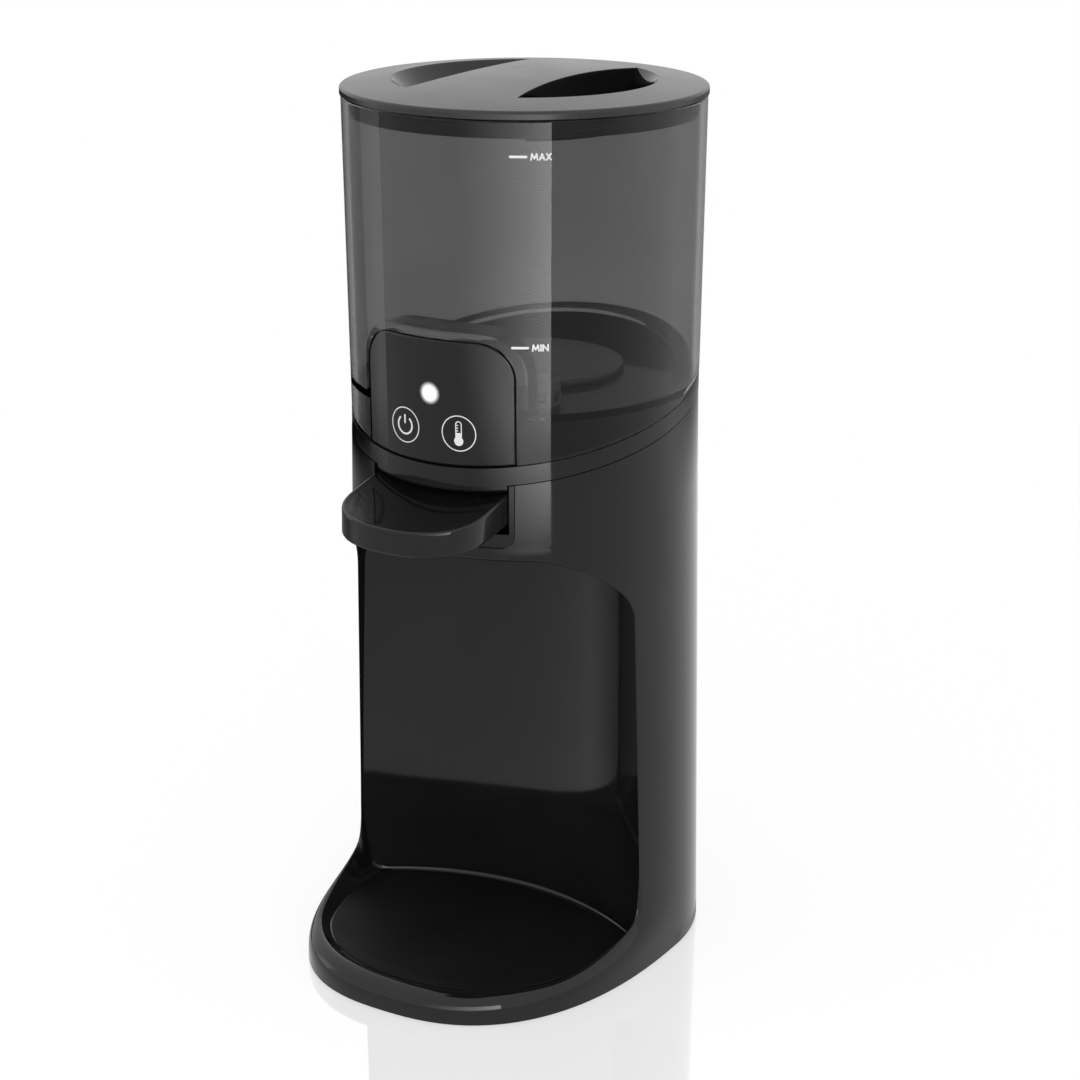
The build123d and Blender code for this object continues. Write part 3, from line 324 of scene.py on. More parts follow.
def soft_box(name, turn, distance, shift, width, height, radiance, power):
    """Upright area lamp facing the tank axis, that brightens from one side to the other.

    turn is its angle round the tank from the camera, and shift slides it sideways. Across
    the lamp the light is radiance times the share of the width raised to power, and it
    fades out towards the floor.
    """
    data = bpy.data.lights.new(name, "AREA")
    data.shape = "RECTANGLE"
    data.size = width
    data.size_y = height
    data.energy = math.pi * width * height * radiance
    data.use_nodes = True
    lamp_tree = data.node_tree
    lamp_tree.nodes.clear()
    where = add_node(lamp_tree, "ShaderNodeNewGeometry")
    axes = add_node(lamp_tree, "ShaderNodeSeparateXYZ")
    join(lamp_tree, where.outputs["Parametric"], axes.inputs[0])
    rise = add_node(lamp_tree, "ShaderNodeMath")
    rise.operation = "POWER"
    join(lamp_tree, axes.outputs["X"], rise.inputs[0])
    rise.inputs[1].default_value = power
    above_floor = span(lamp_tree, axes.outputs["Y"], 0.0, FOOT_FADE / height, 0.0, 1.0)
    beam = add_node(lamp_tree, "ShaderNodeEmission")
    join(lamp_tree, times(lamp_tree, rise.outputs[0], above_floor), beam.inputs["Strength"])
    join(lamp_tree, beam.outputs[0], add_node(lamp_tree, "ShaderNodeOutputLight").inputs["Surface"])
    azimuth = CAMERA_AZIMUTH + turn
    out = Vector((math.cos(azimuth), math.sin(azimuth), 0))
    along = Vector((-out.y, out.x, 0))
    spot = TANK_SPOT + distance * out + shift * along + Vector((0, 0, height / 2 + LAMP_LIFT))
    lamp = bpy.data.objects.new(name, data)
    lamp.matrix_world = stand(spot, along, Vector((0, 0, 1)), out)
    lamp.visible_camera = False
    lamp.visible_transmission = False
    scene.collection.objects.link(lamp)
    print(name, round(data.energy, 2), "W,", round(distance, 2), "m from the tank axis")


soft_box("key_box", turn=0.0, distance=0.65, shift=-0.254, width=0.872, height=0.28, radiance=6.2, power=2.4)
soft_box(
    "side_box",
    turn=math.radians(-108.5),
    distance=0.70,
    shift=0.0,
    width=0.27,
    height=0.40,
    radiance=0.75,
    power=0.3,
)

# %% [markdown]
# Most of the shell is moulded plastic. Even a polished moulding is not perfect: its gloss
# changes a little where hands have been, its colour is not quite even, and its skin has a faint
# orange-peel waviness. One function mixes these from noise, and each finish chooses the amounts.
# The noise reads Object coordinates, in metres, so its grain has a true size.

# %% Moulded plastic
NOISE_LOW = 0.3
NOISE_HIGH = 0.7


def plain_shader(tree, **sockets):
    """Principled shader with its constants set on its own sockets, joined to the output."""
    shader = add_node(tree, "ShaderNodeBsdfPrincipled", **sockets)
    join(tree, shader.outputs[0], add_node(tree, "ShaderNodeOutputMaterial").inputs["Surface"])
    return shader


def noise(tree, size, detail=3.0, stretch=(1, 1, 1)):
    """Noise whose blobs are about size metres across, on Object coordinates."""
    turn = add_node(tree, "ShaderNodeMapping", Scale=stretch)
    join(tree, object_place(tree), turn.inputs["Vector"])
    cloud = add_node(tree, "ShaderNodeTexNoise", Scale=1 / size, Detail=detail)
    join(tree, turn.outputs[0], cloud.inputs["Vector"])
    return cloud.outputs["Fac"]


def two_tone(tree, amount, dark, light):
    """Colour that goes from dark to light as the noise goes through its usual range."""
    ramp = add_node(tree, "ShaderNodeValToRGB")
    ramp.color_ramp.elements[0].position = NOISE_LOW
    ramp.color_ramp.elements[1].position = NOISE_HIGH
    ramp.color_ramp.elements[0].color = (*dark, 1)
    ramp.color_ramp.elements[1].color = (*light, 1)
    join(tree, amount, ramp.inputs[0])
    return ramp.outputs[0]


def between(tree, amount, low, high):
    """Value that goes from low to high as the noise goes through its usual range."""
    return span(tree, amount, NOISE_LOW, NOISE_HIGH, low, high)


def bumped(tree, shader, height, depth):
    """Raises the surface by depth metres where height is 1."""
    bump = add_node(tree, "ShaderNodeBump", Strength=1.0, Distance=depth)
    join(tree, height, bump.inputs["Height"])
    join(tree, bump.outputs[0], shader.inputs["Normal"])


def moulded(name, dark, light, polish, smear_size, grain_size, grain_depth, **sockets):
    """Plastic: two close colours, gloss between the two polish values, and a fine skin."""
    finish, tree = new_finish(name)
    shader = plain_shader(tree, **sockets)
    smears = noise(tree, smear_size)
    join(tree, two_tone(tree, smears, dark, light), shader.inputs["Base Color"])
    join(tree, between(tree, smears, *polish), shader.inputs["Roughness"])
    bumped(tree, shader, noise(tree, grain_size, detail=1.0), grain_depth)
    return finish


# %% Gloss black of the base, and the plastics inside
gloss_black = moulded(
    "gloss_black",
    dark=(0.006, 0.006, 0.0065),
    light=(0.010, 0.010, 0.0105),
    polish=(0.045, 0.075),
    smear_size=0.060,
    grain_size=0.004,
    grain_depth=2e-7,
    IOR=1.43,
)
inner_black = moulded(
    "inner_black",
    dark=(0.010, 0.010, 0.010),
    light=(0.016, 0.016, 0.016),
    polish=(0.35, 0.5),
    smear_size=0.030,
    grain_size=0.0008,
    grain_depth=2e-6,
)
natural_plastic = moulded(
    "natural_plastic",
    dark=(0.62, 0.62, 0.60),
    light=(0.72, 0.72, 0.70),
    polish=(0.30, 0.42),
    smear_size=0.020,
    grain_size=0.0008,
    grain_depth=2e-6,
)
print("plastics:", gloss_black.name, inner_black.name, natural_plastic.name)

# %% [markdown]
# The lid is satin on top, and its two finger scoops are polished and carry painted shade, so they
# look nearly black. One finish does both: it measures how deep a point lies under the crown,
# which falls off with the square of the radius, and where it is deep it darkens the colour as
# painted shade and lowers the roughness. The outer wall of the rim is kept out by its radius.

# %% Lid, satin, with polished scoops in painted shade
LID_TOP_Z = 0.3639
LID_CROWN = 0.0045
LID_R = 0.073
SCOOP_FADE = 0.0009
SCOOP_FADE_END = 0.3
SCOOP_REACH = 0.068
# share of the colour kept deep in the scoops: painted shade
SCOOP_PAINTED_SHADE = 0.2
SCOOP_POLISH = 0.3

lid_satin, tree = new_finish("lid_satin")
shader = plain_shader(tree, IOR=1.5)
from_axis = vector_step(tree, "SUBTRACT", object_place(tree), TANK_SPOT).outputs["Vector"]
lid_radius = length_of(tree, vector_step(tree, "MULTIPLY", from_axis, (1, 1, 0)).outputs["Vector"])
lid_level = add_node(tree, "ShaderNodeMath")
lid_level.operation = "MULTIPLY_ADD"
join(tree, times(tree, lid_radius, lid_radius), lid_level.inputs[0])
lid_level.inputs[1].default_value = LID_CROWN / LID_R**2
join(tree, toward(tree, from_axis, (0, 0, 1)), lid_level.inputs[2])
scoop_levels = (LID_TOP_Z - SCOOP_FADE, LID_TOP_Z - SCOOP_FADE_END * SCOOP_FADE)
scoop_shade_and_polish_mask = times(
    tree,
    span(tree, lid_level.outputs[0], *scoop_levels, 1, 0),
    span(tree, lid_radius, SCOOP_REACH - SCOOP_FADE, SCOOP_REACH, 1, 0),
)
lid_smears = noise(tree, 0.040)
lid_tone = two_tone(tree, lid_smears, (0.022, 0.022, 0.023), (0.030, 0.030, 0.031))
lid_colour_with_painted_shade = vector_step(tree, "SCALE", lid_tone)
# Painted shade: the colour is darkened deep in the scoops.
join(tree, span(tree, scoop_shade_and_polish_mask, 0, 1, 1, SCOOP_PAINTED_SHADE), lid_colour_with_painted_shade.inputs["Scale"])
join(tree, lid_colour_with_painted_shade.outputs["Vector"], shader.inputs["Base Color"])
lid_polish = span(tree, scoop_shade_and_polish_mask, 0, 1, 1, SCOOP_POLISH)
join(tree, times(tree, between(tree, lid_smears, 0.26, 0.32), lid_polish), shader.inputs["Roughness"])
bumped(tree, shader, noise(tree, 0.0006, detail=1.0), 4e-7)
print("scoops darken from", round(1000 * (LID_TOP_Z - scoop_levels[0]), 2), "mm under the crown")

# %% [markdown]
# The tank is clear plastic with a grey tint. It is a real shell with an inner and an outer skin,
# so light bends through it as it does in the kitchen. The tint sits in the shader's colour,
# which takes its share on the way in and again on the way out of each wall.

# %% Smoked tank
tank_smoke, tree = new_finish("tank_smoke")
shader = plain_shader(tree, Transmission_Weight=1.0, IOR=1.35)
haze = noise(tree, 0.050)
join(tree, two_tone(tree, haze, (0.27, 0.27, 0.272), (0.30, 0.30, 0.302)), shader.inputs["Base Color"])
join(tree, between(tree, haze, 0.015, 0.03), shader.inputs["Roughness"])
print("tank finish:", len(tree.nodes), "nodes")

# %% [markdown]
# Rubber and silicone are matt, with a powdery bloom. Metal pieces were brushed or rolled, so their
# noise is stretched along one axis until it turns into fine lines.

# %% Rubber, silicone and metal
dark_rubber = moulded(
    "dark_rubber", (0.020, 0.020, 0.020), (0.035, 0.035, 0.035), (0.65, 0.85), 0.006, 0.0005, 1e-5
)
dark_silicone = moulded(
    "dark_silicone", (0.040, 0.040, 0.042), (0.055, 0.055, 0.057), (0.42, 0.55), 0.010, 0.0005, 4e-6
)
pale_silicone = moulded(
    "pale_silicone", (0.50, 0.50, 0.49), (0.60, 0.60, 0.58), (0.42, 0.55), 0.010, 0.0005, 4e-6
)


def brushed(name, dark, light, polish, stretch):
    """Metal with lines: noise stretched along one axis drives colour, gloss and relief."""
    finish, tree = new_finish(name)
    shader = plain_shader(tree, Metallic=1.0)
    lines = noise(tree, 0.0012, detail=4.0, stretch=stretch)
    join(tree, two_tone(tree, lines, dark, light), shader.inputs["Base Color"])
    join(tree, between(tree, lines, *polish), shader.inputs["Roughness"])
    bumped(tree, shader, lines, 2e-6)
    return finish


steel = brushed("steel", (0.46, 0.46, 0.47), (0.60, 0.60, 0.61), (0.22, 0.38), (0.04, 1, 1))
cast_metal = brushed("cast_metal", (0.55, 0.55, 0.57), (0.68, 0.68, 0.70), (0.35, 0.5), (1, 1, 1))
plate_metal = moulded(
    "plate_metal", (0.28, 0.28, 0.285), (0.33, 0.33, 0.335), (0.30, 0.38), 0.030, 0.0004, 2e-7, Metallic=1.0
)
print("metals:", steel.name, cast_metal.name, plate_metal.name)

# %% [markdown]
# The boards are green laminate with copper tracks under the lacquer. A brick pattern makes
# straight tracks cheaply. The window rod is clear, and its chip glows.

# %% Boards, window rod and chip
board_green, tree = new_finish("board_green")
shader = plain_shader(tree, Roughness=0.35)
tracks = add_node(
    tree,
    "ShaderNodeTexBrick",
    Scale=120.0,
    Color1=(0.012, 0.070, 0.026, 1),
    Color2=(0.016, 0.085, 0.032, 1),
    Mortar=(0.030, 0.140, 0.050, 1),
)
join(tree, object_place(tree), tracks.inputs["Vector"])
join(tree, tracks.outputs["Color"], shader.inputs["Base Color"])
bumped(tree, shader, tracks.outputs["Fac"], 2e-5)

window_clear, tree = new_finish("window_clear")
shader = plain_shader(tree, Transmission_Weight=1.0, IOR=1.49)
window_haze = noise(tree, 0.002)
join(tree, two_tone(tree, window_haze, (0.90, 0.90, 0.90), (0.96, 0.96, 0.96)), shader.inputs["Base Color"])
join(tree, between(tree, window_haze, 0.10, 0.2), shader.inputs["Roughness"])

chip_glow, tree = new_finish("chip_glow")
shader = plain_shader(tree, Emission_Color=(1, 1, 1, 1), Emission_Strength=1.0, Roughness=0.4)
chip_tone = two_tone(tree, noise(tree, 0.0006), (0.7, 0.7, 0.6), (0.85, 0.85, 0.8))
join(tree, chip_tone, shader.inputs["Base Color"])
print("small finishes:", board_green.name, window_clear.name, chip_glow.name)

# %% Give every solid its finish
FINISHES = {
    gloss_black: ("base_housing", "niche_liner", "control_panel", "lever", "lever_bezel", "collar_ring"),
    tank_smoke: ("tank",),
    lid_satin: ("lid",),
    inner_black: ("deck_frame", "bottom_plate", "power_inlet"),
    natural_plastic: (
        "valve_body",
        "valve_plunger",
        "valve_cap",
        "tank_socket",
        "tank_poppet",
        "outlet_strainer",
    ),
    dark_silicone: ("lid_seal", "heat_plate_gasket"),
    pale_silicone: (
        "poppet_seal",
        "plunger_seal",
        "valve_diaphragm",
        "socket_gasket",
        "nozzle",
        "feed_hose",
    ),
    dark_rubber: ("rubber_feet",),
    steel: (
        "lever_pin",
        "base_screws",
        "valve_spring",
        "poppet_spring",
        "temperature_sensor",
        "heater_element",
    ),
    plate_metal: ("heat_plate",),
    cast_metal: ("heater_disc",),
    board_green: ("touch_board", "main_board"),
    window_clear: ("light_guide",),
    chip_glow: ("status_light",),
}
for finish, names in FINISHES.items():
    for name in names:
        for material_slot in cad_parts[name].material_slots:
            material_slot.material = finish
dressed = {name for names in FINISHES.values() for name in names}
print("solids dressed:", len(dressed), "left plain:", sorted(set(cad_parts) - dressed))

# %% [markdown]
# The base is one smooth skin: an upright cone that flares out into a foot, with a bottle niche let
# into its front. The lip of the niche is rolled over softly, which the plain solid does not show, so
# the skin is made again here as a surface. Picture a grid stretched round the mouth of the niche:
# one direction runs round the mouth, the other runs from the back of the column, over the rolled
# lip, along the floor or ceiling and up the back wall to its middle. Every row is worked out for
# the whole mouth at once. Sizes are in millimetres from the tank axis.

# %% Skin of column and foot
MM = 0.001
AXIS = np.array([0.0, 18.3, 0.0])
FOOT_R = 74.6
SEAM_R = 71.0
SEAM_Z = 230.2
SEAM_TILT = 0.24
FOOT_OUT = 36.57
FOOT_LEVEL = 17.9
FOOT_FALL = 5
FOOT_SQUARE = 0.5
BASE_LOW_Z = 1.0


def form_at(z):
    """Radius, foot's share and outline power of the skin at a height.

    The radius shrinks evenly with height. The foot's share is 1 / (1 + (height / level) to a
    power), and the outline gets squarer with that share.
    """
    share = 1 / (1 + (z / FOOT_LEVEL) ** FOOT_FALL)
    radius = FOOT_R + (SEAM_R - FOOT_R) * z / SEAM_Z
    return radius, share, 2 / (2 + FOOT_SQUARE * share)


def skin(turn, z):
    """Points of the base's skin at an angle from the front and a height.

    Behind, the outline is a circle. In front it is a squarish oval whose reach is the radius
    plus the foot's share of its overhang: sine and cosine are raised to the outline power.
    """
    radius, share, power = form_at(z)
    across = np.sin(turn)
    along = np.cos(turn)
    reach = np.where(along > 0, radius + FOOT_OUT * share, radius)
    power = np.where(along > 0, power, 1.0)
    x = radius * np.sign(across) * np.abs(across) ** power
    y = -reach * np.sign(along) * np.abs(along) ** power
    return np.stack([x, y, z + 0 * turn], axis=-1)


def turn_at(x, z):
    """Angle from the front at which the skin of the front half has a given x."""
    radius, _, power = form_at(z)
    return np.arcsin(np.sign(x) * (np.abs(x) / radius) ** (1 / power))


# %% Mouth of the niche, as seen from the front
MOUTH_TOP_Z = 184.0
MOUTH_LOW_Z = 13.2
MOUTH_TOP_HALF = 66.8
MOUTH_LOW_HALF = 70.0
MOUTH_TOP_R = 30.0
MOUTH_LOW_R = 13.0
BEND_COUNT = 61
HALF_BEND = BEND_COUNT // 2
TOP_COUNT = 161
SIDE_COUNT = 121
LOW_COUNT = 141


def bend(centre, radius, start, end, count):
    """Points on a circle between two angles in degrees, counted from the right and upwards."""
    angle = np.radians(np.linspace(start, end, count))
    return np.array(centre) + radius * np.stack([np.cos(angle), np.sin(angle)], axis=1)


def even_steps(path, count):
    """The same open path with points an even distance apart."""
    length = np.concatenate([[0], np.cumsum(np.linalg.norm(np.diff(path, axis=0), axis=1))])
    spots = np.linspace(0, length[-1], count)
    return np.stack([np.interp(spots, length, path[:, k]) for k in range(path.shape[1])], axis=1)


top_centre = (MOUTH_TOP_HALF - MOUTH_TOP_R, MOUTH_TOP_Z - MOUTH_TOP_R)
low_centre = (MOUTH_LOW_HALF - MOUTH_LOW_R, MOUTH_LOW_Z + MOUTH_LOW_R)
top_bend = bend(top_centre, MOUTH_TOP_R, 90, 0, BEND_COUNT)
low_bend = bend(low_centre, MOUTH_LOW_R, 0, -90, BEND_COUNT)
flip = np.array([-1, 1])
top_path = even_steps(np.vstack([top_bend[HALF_BEND::-1] * flip, top_bend[:HALF_BEND + 1]]), TOP_COUNT)
side_path = even_steps(np.vstack([top_bend[HALF_BEND:], low_bend[:HALF_BEND + 1]]), SIDE_COUNT)
low_path = even_steps(np.vstack([low_bend[HALF_BEND:], low_bend[:HALF_BEND - 1:-1] * flip]), LOW_COUNT)
mouth = np.vstack([top_path[:-1], side_path[:-1], low_path[:-1], side_path[:0:-1] * flip])
print("mouth of the niche:", len(mouth), "points,", np.ptp(mouth, axis=0).round(1), "mm")

# %% Outer border of the grid, split where the bezel, the inlet and the foot begin
BAND_LOW_Z = 189.5
BEZEL_HALF = 33.5
BEZEL_ROUND = 4.0
INLET_HALF = 12.2
INLET_LOW_Z = 17.8
INLET_HIGH_Z = 37.2
OUTER_COUNT = 61
MIDDLE_COUNT = TOP_COUNT - 2 * (OUTER_COUNT - 1)
INLET_COUNT = 16
FOOT_COUNT = 13
COLUMN_COUNT = SIDE_COUNT - INLET_COUNT - FOOT_COUNT

bezel_turn = turn_at(np.array(BEZEL_HALF - BEZEL_ROUND), np.array(BAND_LOW_Z))
back_turn = np.pi - INLET_HALF / FOOT_R
outer_turn = np.linspace(bezel_turn, back_turn, OUTER_COUNT)
middle_turn = np.linspace(-bezel_turn, bezel_turn, MIDDLE_COUNT)
top_turn = np.concatenate([-outer_turn[:0:-1], middle_turn, outer_turn[1:]])
low_turn = np.linspace(back_turn, -back_turn, LOW_COUNT)
side_z = np.concatenate([
    np.linspace(BAND_LOW_Z, INLET_HIGH_Z, COLUMN_COUNT, endpoint=False),
    np.linspace(INLET_HIGH_Z, INLET_LOW_Z, INLET_COUNT, endpoint=False),
    np.linspace(INLET_LOW_Z, BASE_LOW_Z, FOOT_COUNT),
])
border = np.vstack([
    np.stack([top_turn, np.full(TOP_COUNT, BAND_LOW_Z)], axis=1)[:-1],
    np.stack([np.full(SIDE_COUNT, back_turn), side_z], axis=1)[:-1],
    np.stack([low_turn, np.full(LOW_COUNT, BASE_LOW_Z)], axis=1)[:-1],
    np.stack([np.full(SIDE_COUNT, -back_turn), side_z[::-1]], axis=1)[:-1],
])
print("border of the grid:", border.shape)

# %% Rows over the skin, from the border to the edge of the lip
SKIN_ROWS = 26
LIP_ROLL = 3.6
RIM_ROLL = 2.0
FOLD_START = 2.0
FOLD_END = 32.0


def smooth_step(value, low, high):
    """0 below low, 1 above high, and 3 s*s - 2 s*s*s of the share s between."""
    share = np.clip((value - low) / (high - low), 0, 1)
    return share * share * (3 - 2 * share)


lowness = 1 - smooth_step(mouth[:, 1], MOUTH_LOW_Z + FOLD_START, MOUTH_LOW_Z + FOLD_END)
roll = RIM_ROLL + (LIP_ROLL - RIM_ROLL) * lowness
mouth_turn = turn_at(mouth[:, 0], mouth[:, 1])
unrolled = np.stack([FOOT_R * mouth_turn, mouth[:, 1]], axis=1)
run = np.roll(unrolled, -1, axis=0) - np.roll(unrolled, 1, axis=0)
outward = np.stack([-run[:, 1], run[:, 0]], axis=1) / np.linalg.norm(run, axis=1, keepdims=True)
edge_turn = mouth_turn + roll * outward[:, 0] / FOOT_R
edge_z = mouth[:, 1] + roll * outward[:, 1]
to_border = np.linspace(1, 0, SKIN_ROWS)[:-1, None]
row_turn = edge_turn + to_border * (border[:, 0] - edge_turn)
row_z = edge_z + to_border * (border[:, 1] - edge_z)
skin_rows = skin(row_turn, row_z)
print("rows over the skin:", skin_rows.shape)

# %% Rows of the rolled lip, the floor or ceiling, and the back wall
ROLL_ROWS = 9
WALL_ROWS = 16
LIP_IN = 5.0
TRAY_Z = 9.8
TRAY_BEND = 3.0
TRAY_MIDDLE_Y = -36.0
WALL_Y = 0.3
WALL_R = 112.7
TRAY_FILLET = 2.2
SIDE_FILLET = 9.0
WALL_MIDDLE_Z = 95.0
WALL_START = 0.2
LEG_MOST = 0.45
TRAY_MOST = 0.4
WALL_MOST = 0.9


def back_wall(x, z):
    """Hollow back wall: part of an upright cylinder."""
    return np.stack([x, WALL_Y - WALL_R + np.sqrt(WALL_R**2 - x**2), z], axis=-1)


def length_along(way):
    return np.linalg.norm(way, axis=-1, keepdims=True)


def rolled_corner(before, corner, after, cut_in, cut_out, count):
    """Rounds a corner of a path: a parabola between a point on each of its two legs."""
    leg_in = before - corner
    leg_out = after - corner
    start = corner + leg_in * cut_in / length_along(leg_in)
    end = corner + leg_out * cut_out / length_along(leg_out)
    share = np.linspace(0, 1, count)[:, None, None]
    return (1 - share) ** 2 * start + 2 * share * (1 - share) * corner + share**2 * end


lip = skin(mouth_turn, mouth[:, 1])
edge = skin(edge_turn, edge_z)
inward = np.stack([-lip[:, 0], TRAY_MIDDLE_Y - lip[:, 1]], axis=1)
inward = inward / length_along(inward)
tray_edge = np.column_stack([lip[:, :2] + LIP_IN * inward, np.full(len(lip), TRAY_Z)])
wall_edge = back_wall(lip[:, 0], lip[:, 2])
tray_back = back_wall(tray_edge[:, 0], tray_edge[:, 2])
fold = lowness[:, None]
inner_edge = (1 - fold) * (lip + 0.5 * (wall_edge - lip)) + fold * tray_edge
wall_foot = (1 - fold) * wall_edge + fold * tray_back
on_wall_z = wall_foot[:, 2] + WALL_START * (WALL_MIDDLE_Z - wall_foot[:, 2])
on_wall = back_wall((1 - WALL_START) * wall_foot[:, 0], on_wall_z)
edge_leg = length_along(edge - lip)
lip_leg = length_along(inner_edge - lip)
floor_leg = length_along(wall_foot - inner_edge)
wall_leg = length_along(on_wall - wall_foot)
lip_cut = np.minimum(roll[:, None], LEG_MOST * lip_leg)
tray_cut = np.minimum(TRAY_BEND, TRAY_MOST * floor_leg)
fillet = np.minimum(SIDE_FILLET + fold * (TRAY_FILLET - SIDE_FILLET), LEG_MOST * floor_leg)
wall_cut = np.minimum(fillet, WALL_MOST * wall_leg)
roll_rows = rolled_corner(edge, lip, inner_edge, edge_leg, lip_cut, ROLL_ROWS)
foot_rows = rolled_corner(lip, inner_edge, wall_foot, LEG_MOST * lip_leg, tray_cut, ROLL_ROWS)
fillet_rows = rolled_corner(inner_edge, wall_foot, on_wall, fillet, wall_cut, ROLL_ROWS)
wall_low = fillet_rows[-1]
to_middle = np.linspace(0, 1, WALL_ROWS)[1:, None]
wall_z = wall_low[:, 2] + to_middle * (WALL_MIDDLE_Z - wall_low[:, 2])
wall_rows = back_wall((1 - to_middle) * wall_low[:, 0], wall_z)
rows = np.concatenate([skin_rows, roll_rows, foot_rows, fillet_rows, wall_rows])
print("grid of the base:", rows.shape)

# %% Band beside the lever's bezel, up to the tilted seam
BAND_ROWS = 13
STRIP_COUNT = 9

climb = np.linspace(0, 1, BAND_ROWS)[:, None]
band_z = BAND_LOW_Z + climb * (SEAM_Z - SEAM_TILT * SEAM_R - BAND_LOW_Z)
below = np.clip(BEZEL_ROUND - (band_z - BAND_LOW_Z), 0, None)
bezel_x = BEZEL_HALF - BEZEL_ROUND + np.sqrt(BEZEL_ROUND**2 - below**2)
start_turn = turn_at(bezel_x, band_z)
strip_turn = np.linspace(back_turn, 2 * np.pi - back_turn, STRIP_COUNT)
round_turn = np.concatenate([outer_turn, strip_turn[1:-1], 2 * np.pi - outer_turn[::-1]])
round_share = (round_turn - bezel_turn) / (2 * (np.pi - bezel_turn))
band_turn = start_turn + round_share * 2 * (np.pi - start_turn)
seam = SEAM_Z - SEAM_TILT * SEAM_R * np.cos(band_turn)
band_rows = skin(band_turn, BAND_LOW_Z + climb * (seam - BAND_LOW_Z))
print("band beside the bezel:", band_rows.shape)

# %% Strip down the back, with the opening for the power inlet
INLET_REVEAL = 3.4
REVEAL_ROWS = 4

high_strip = skin(strip_turn, side_z[COLUMN_COUNT::-1, None])
low_strip = skin(strip_turn, side_z[:SIDE_COUNT - FOOT_COUNT - 1:-1, None])
inlet_z = side_z[SIDE_COUNT - FOOT_COUNT:COLUMN_COUNT - 1:-1]
inlet_loop = np.vstack([
    skin(strip_turn, np.array(INLET_LOW_Z))[:-1],
    skin(np.full(INLET_COUNT + 1, strip_turn[-1]), inlet_z)[:-1],
    skin(strip_turn[::-1], np.array(INLET_HIGH_Z))[:-1],
    skin(np.full(INLET_COUNT + 1, strip_turn[0]), inlet_z[::-1]),
])
reveal_rows = inlet_loop - np.linspace(0, INLET_REVEAL, REVEAL_ROWS)[:, None, None] * [0, 1, 0]
print("inlet opening:", np.ptp(inlet_loop, axis=0).round(1), "mm")

# %% Base shell
WELD_GAP = 2e-6


def weld(piece):
    """Joins points that lie on each other, which closes seams and poles, and shades it smooth."""
    shape = bmesh.new()
    shape.from_mesh(piece.data)
    bmesh.ops.remove_doubles(shape, verts=shape.verts, dist=WELD_GAP)
    shape.to_mesh(piece.data)
    shape.free()
    piece.data.polygons.foreach_set("use_smooth", np.ones(len(piece.data.polygons), dtype=bool))
    piece.data.update()


def placed(points, close=False):
    """Grid of points in mm from the tank axis, as metres in the CAD frame, with its quads."""
    return MM * (points + AXIS), grid_quads(*points.shape[:2], close)


shell = mesh_object(
    "base_shell",
    [
        placed(np.transpose(rows, (1, 0, 2)), close=True),
        placed(band_rows),
        placed(high_strip),
        placed(low_strip),
        placed(reveal_rows),
    ],
    gloss_black,
)
weld(shell)
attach(shell, "base")
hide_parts("base_housing", "niche_liner")
print("base shell:", len(shell.data.polygons), "faces")

# %% [markdown]
# The tray does not mirror the niche as the walls do: a matt black mat lies on it, so that a bottle
# does not slide. The mat is a grid as well. One direction follows the lip, the other runs straight
# from front to back, and the first and last rows turn down to give the mat an edge.

# %% Tray mat
MAT_IN = 6.0
MAT_BACK = 2.4
MAT_T = 0.5
MAT_EDGE = 0.4
MAT_SHOULDER = 0.4
MAT_CORNER = 6.0
MAT_ROWS = 13

mat_matt = moulded(
    "mat_matt", (0.004, 0.004, 0.004), (0.007, 0.007, 0.007), (0.50, 0.60), 0.020, 0.0006, 3e-6, IOR=1.2
)
by_lip = mouth[:, 1] < MOUTH_LOW_Z + MAT_CORNER
mat_front = lip[by_lip, :2] + MAT_IN * inward[by_lip]
mat_back = back_wall(mat_front[:, 0], 0 * mat_front[:, 0])[:, :2] - (0, MAT_BACK)
mat_run = mat_back - mat_front
mat_step = np.concatenate([[0, 0], np.linspace(0, 1, MAT_ROWS), [1, 1]])
mat_trim = MAT_EDGE * np.concatenate([[0, 0], np.linspace(1, -1, MAT_ROWS), [0, 0]])
mat_high = MAT_T * np.concatenate([[-1, MAT_SHOULDER], np.ones(MAT_ROWS), [MAT_SHOULDER, -1]])
mat_flat = mat_front[:, None] + (mat_step + mat_trim / length_along(mat_run))[..., None] * mat_run[:, None]
mat_points = np.concatenate([mat_flat, (TRAY_Z + mat_high + 0 * mat_flat[..., 0])[..., None]], axis=-1)
tray_mat = mesh_object("tray_mat", [placed(mat_points)], mat_matt)
weld(tray_mat)
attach(tray_mat, "base")
print("tray mat:", np.ptp(mat_points.reshape(-1, 3), axis=0).round(1), "mm")

# %% [markdown]
# The pouring lever is a half-moon paddle. Its top is hollowed like a spoon, and its thin rim runs
# right round. Shrinking the outline towards a middle point gives rings, and each ring gets
# a height, so the whole paddle is one table of ring size and height: up the bowl, over the rim,
# down the side and back under.

# %% Lever outline
LEVER_HALF = 30.8
LEVER_FRONT = 42.2
LEVER_BEND_AT = -18.9
LEVER_BACK = 1.5
LEVER_SQUARE = 2.36
FRONT_COUNT = 121
LEVER_COUNT = 241

half_turn = np.linspace(0, np.pi, FRONT_COUNT)
round_x = LEVER_HALF * np.sign(np.cos(half_turn)) * np.abs(np.cos(half_turn)) ** (2 / LEVER_SQUARE)
round_y = LEVER_BEND_AT - (LEVER_FRONT + LEVER_BEND_AT) * np.sin(half_turn) ** (2 / LEVER_SQUARE)
front_edge = np.stack([round_x, round_y], axis=1)
back_edge = np.array([[-LEVER_HALF, LEVER_BACK], [LEVER_HALF, LEVER_BACK]])
lever_outline = even_steps(np.vstack([front_edge, back_edge, front_edge[:1]]), LEVER_COUNT)[:0:-1]
print("lever outline:", np.ptp(lever_outline, axis=0).round(1), "mm")

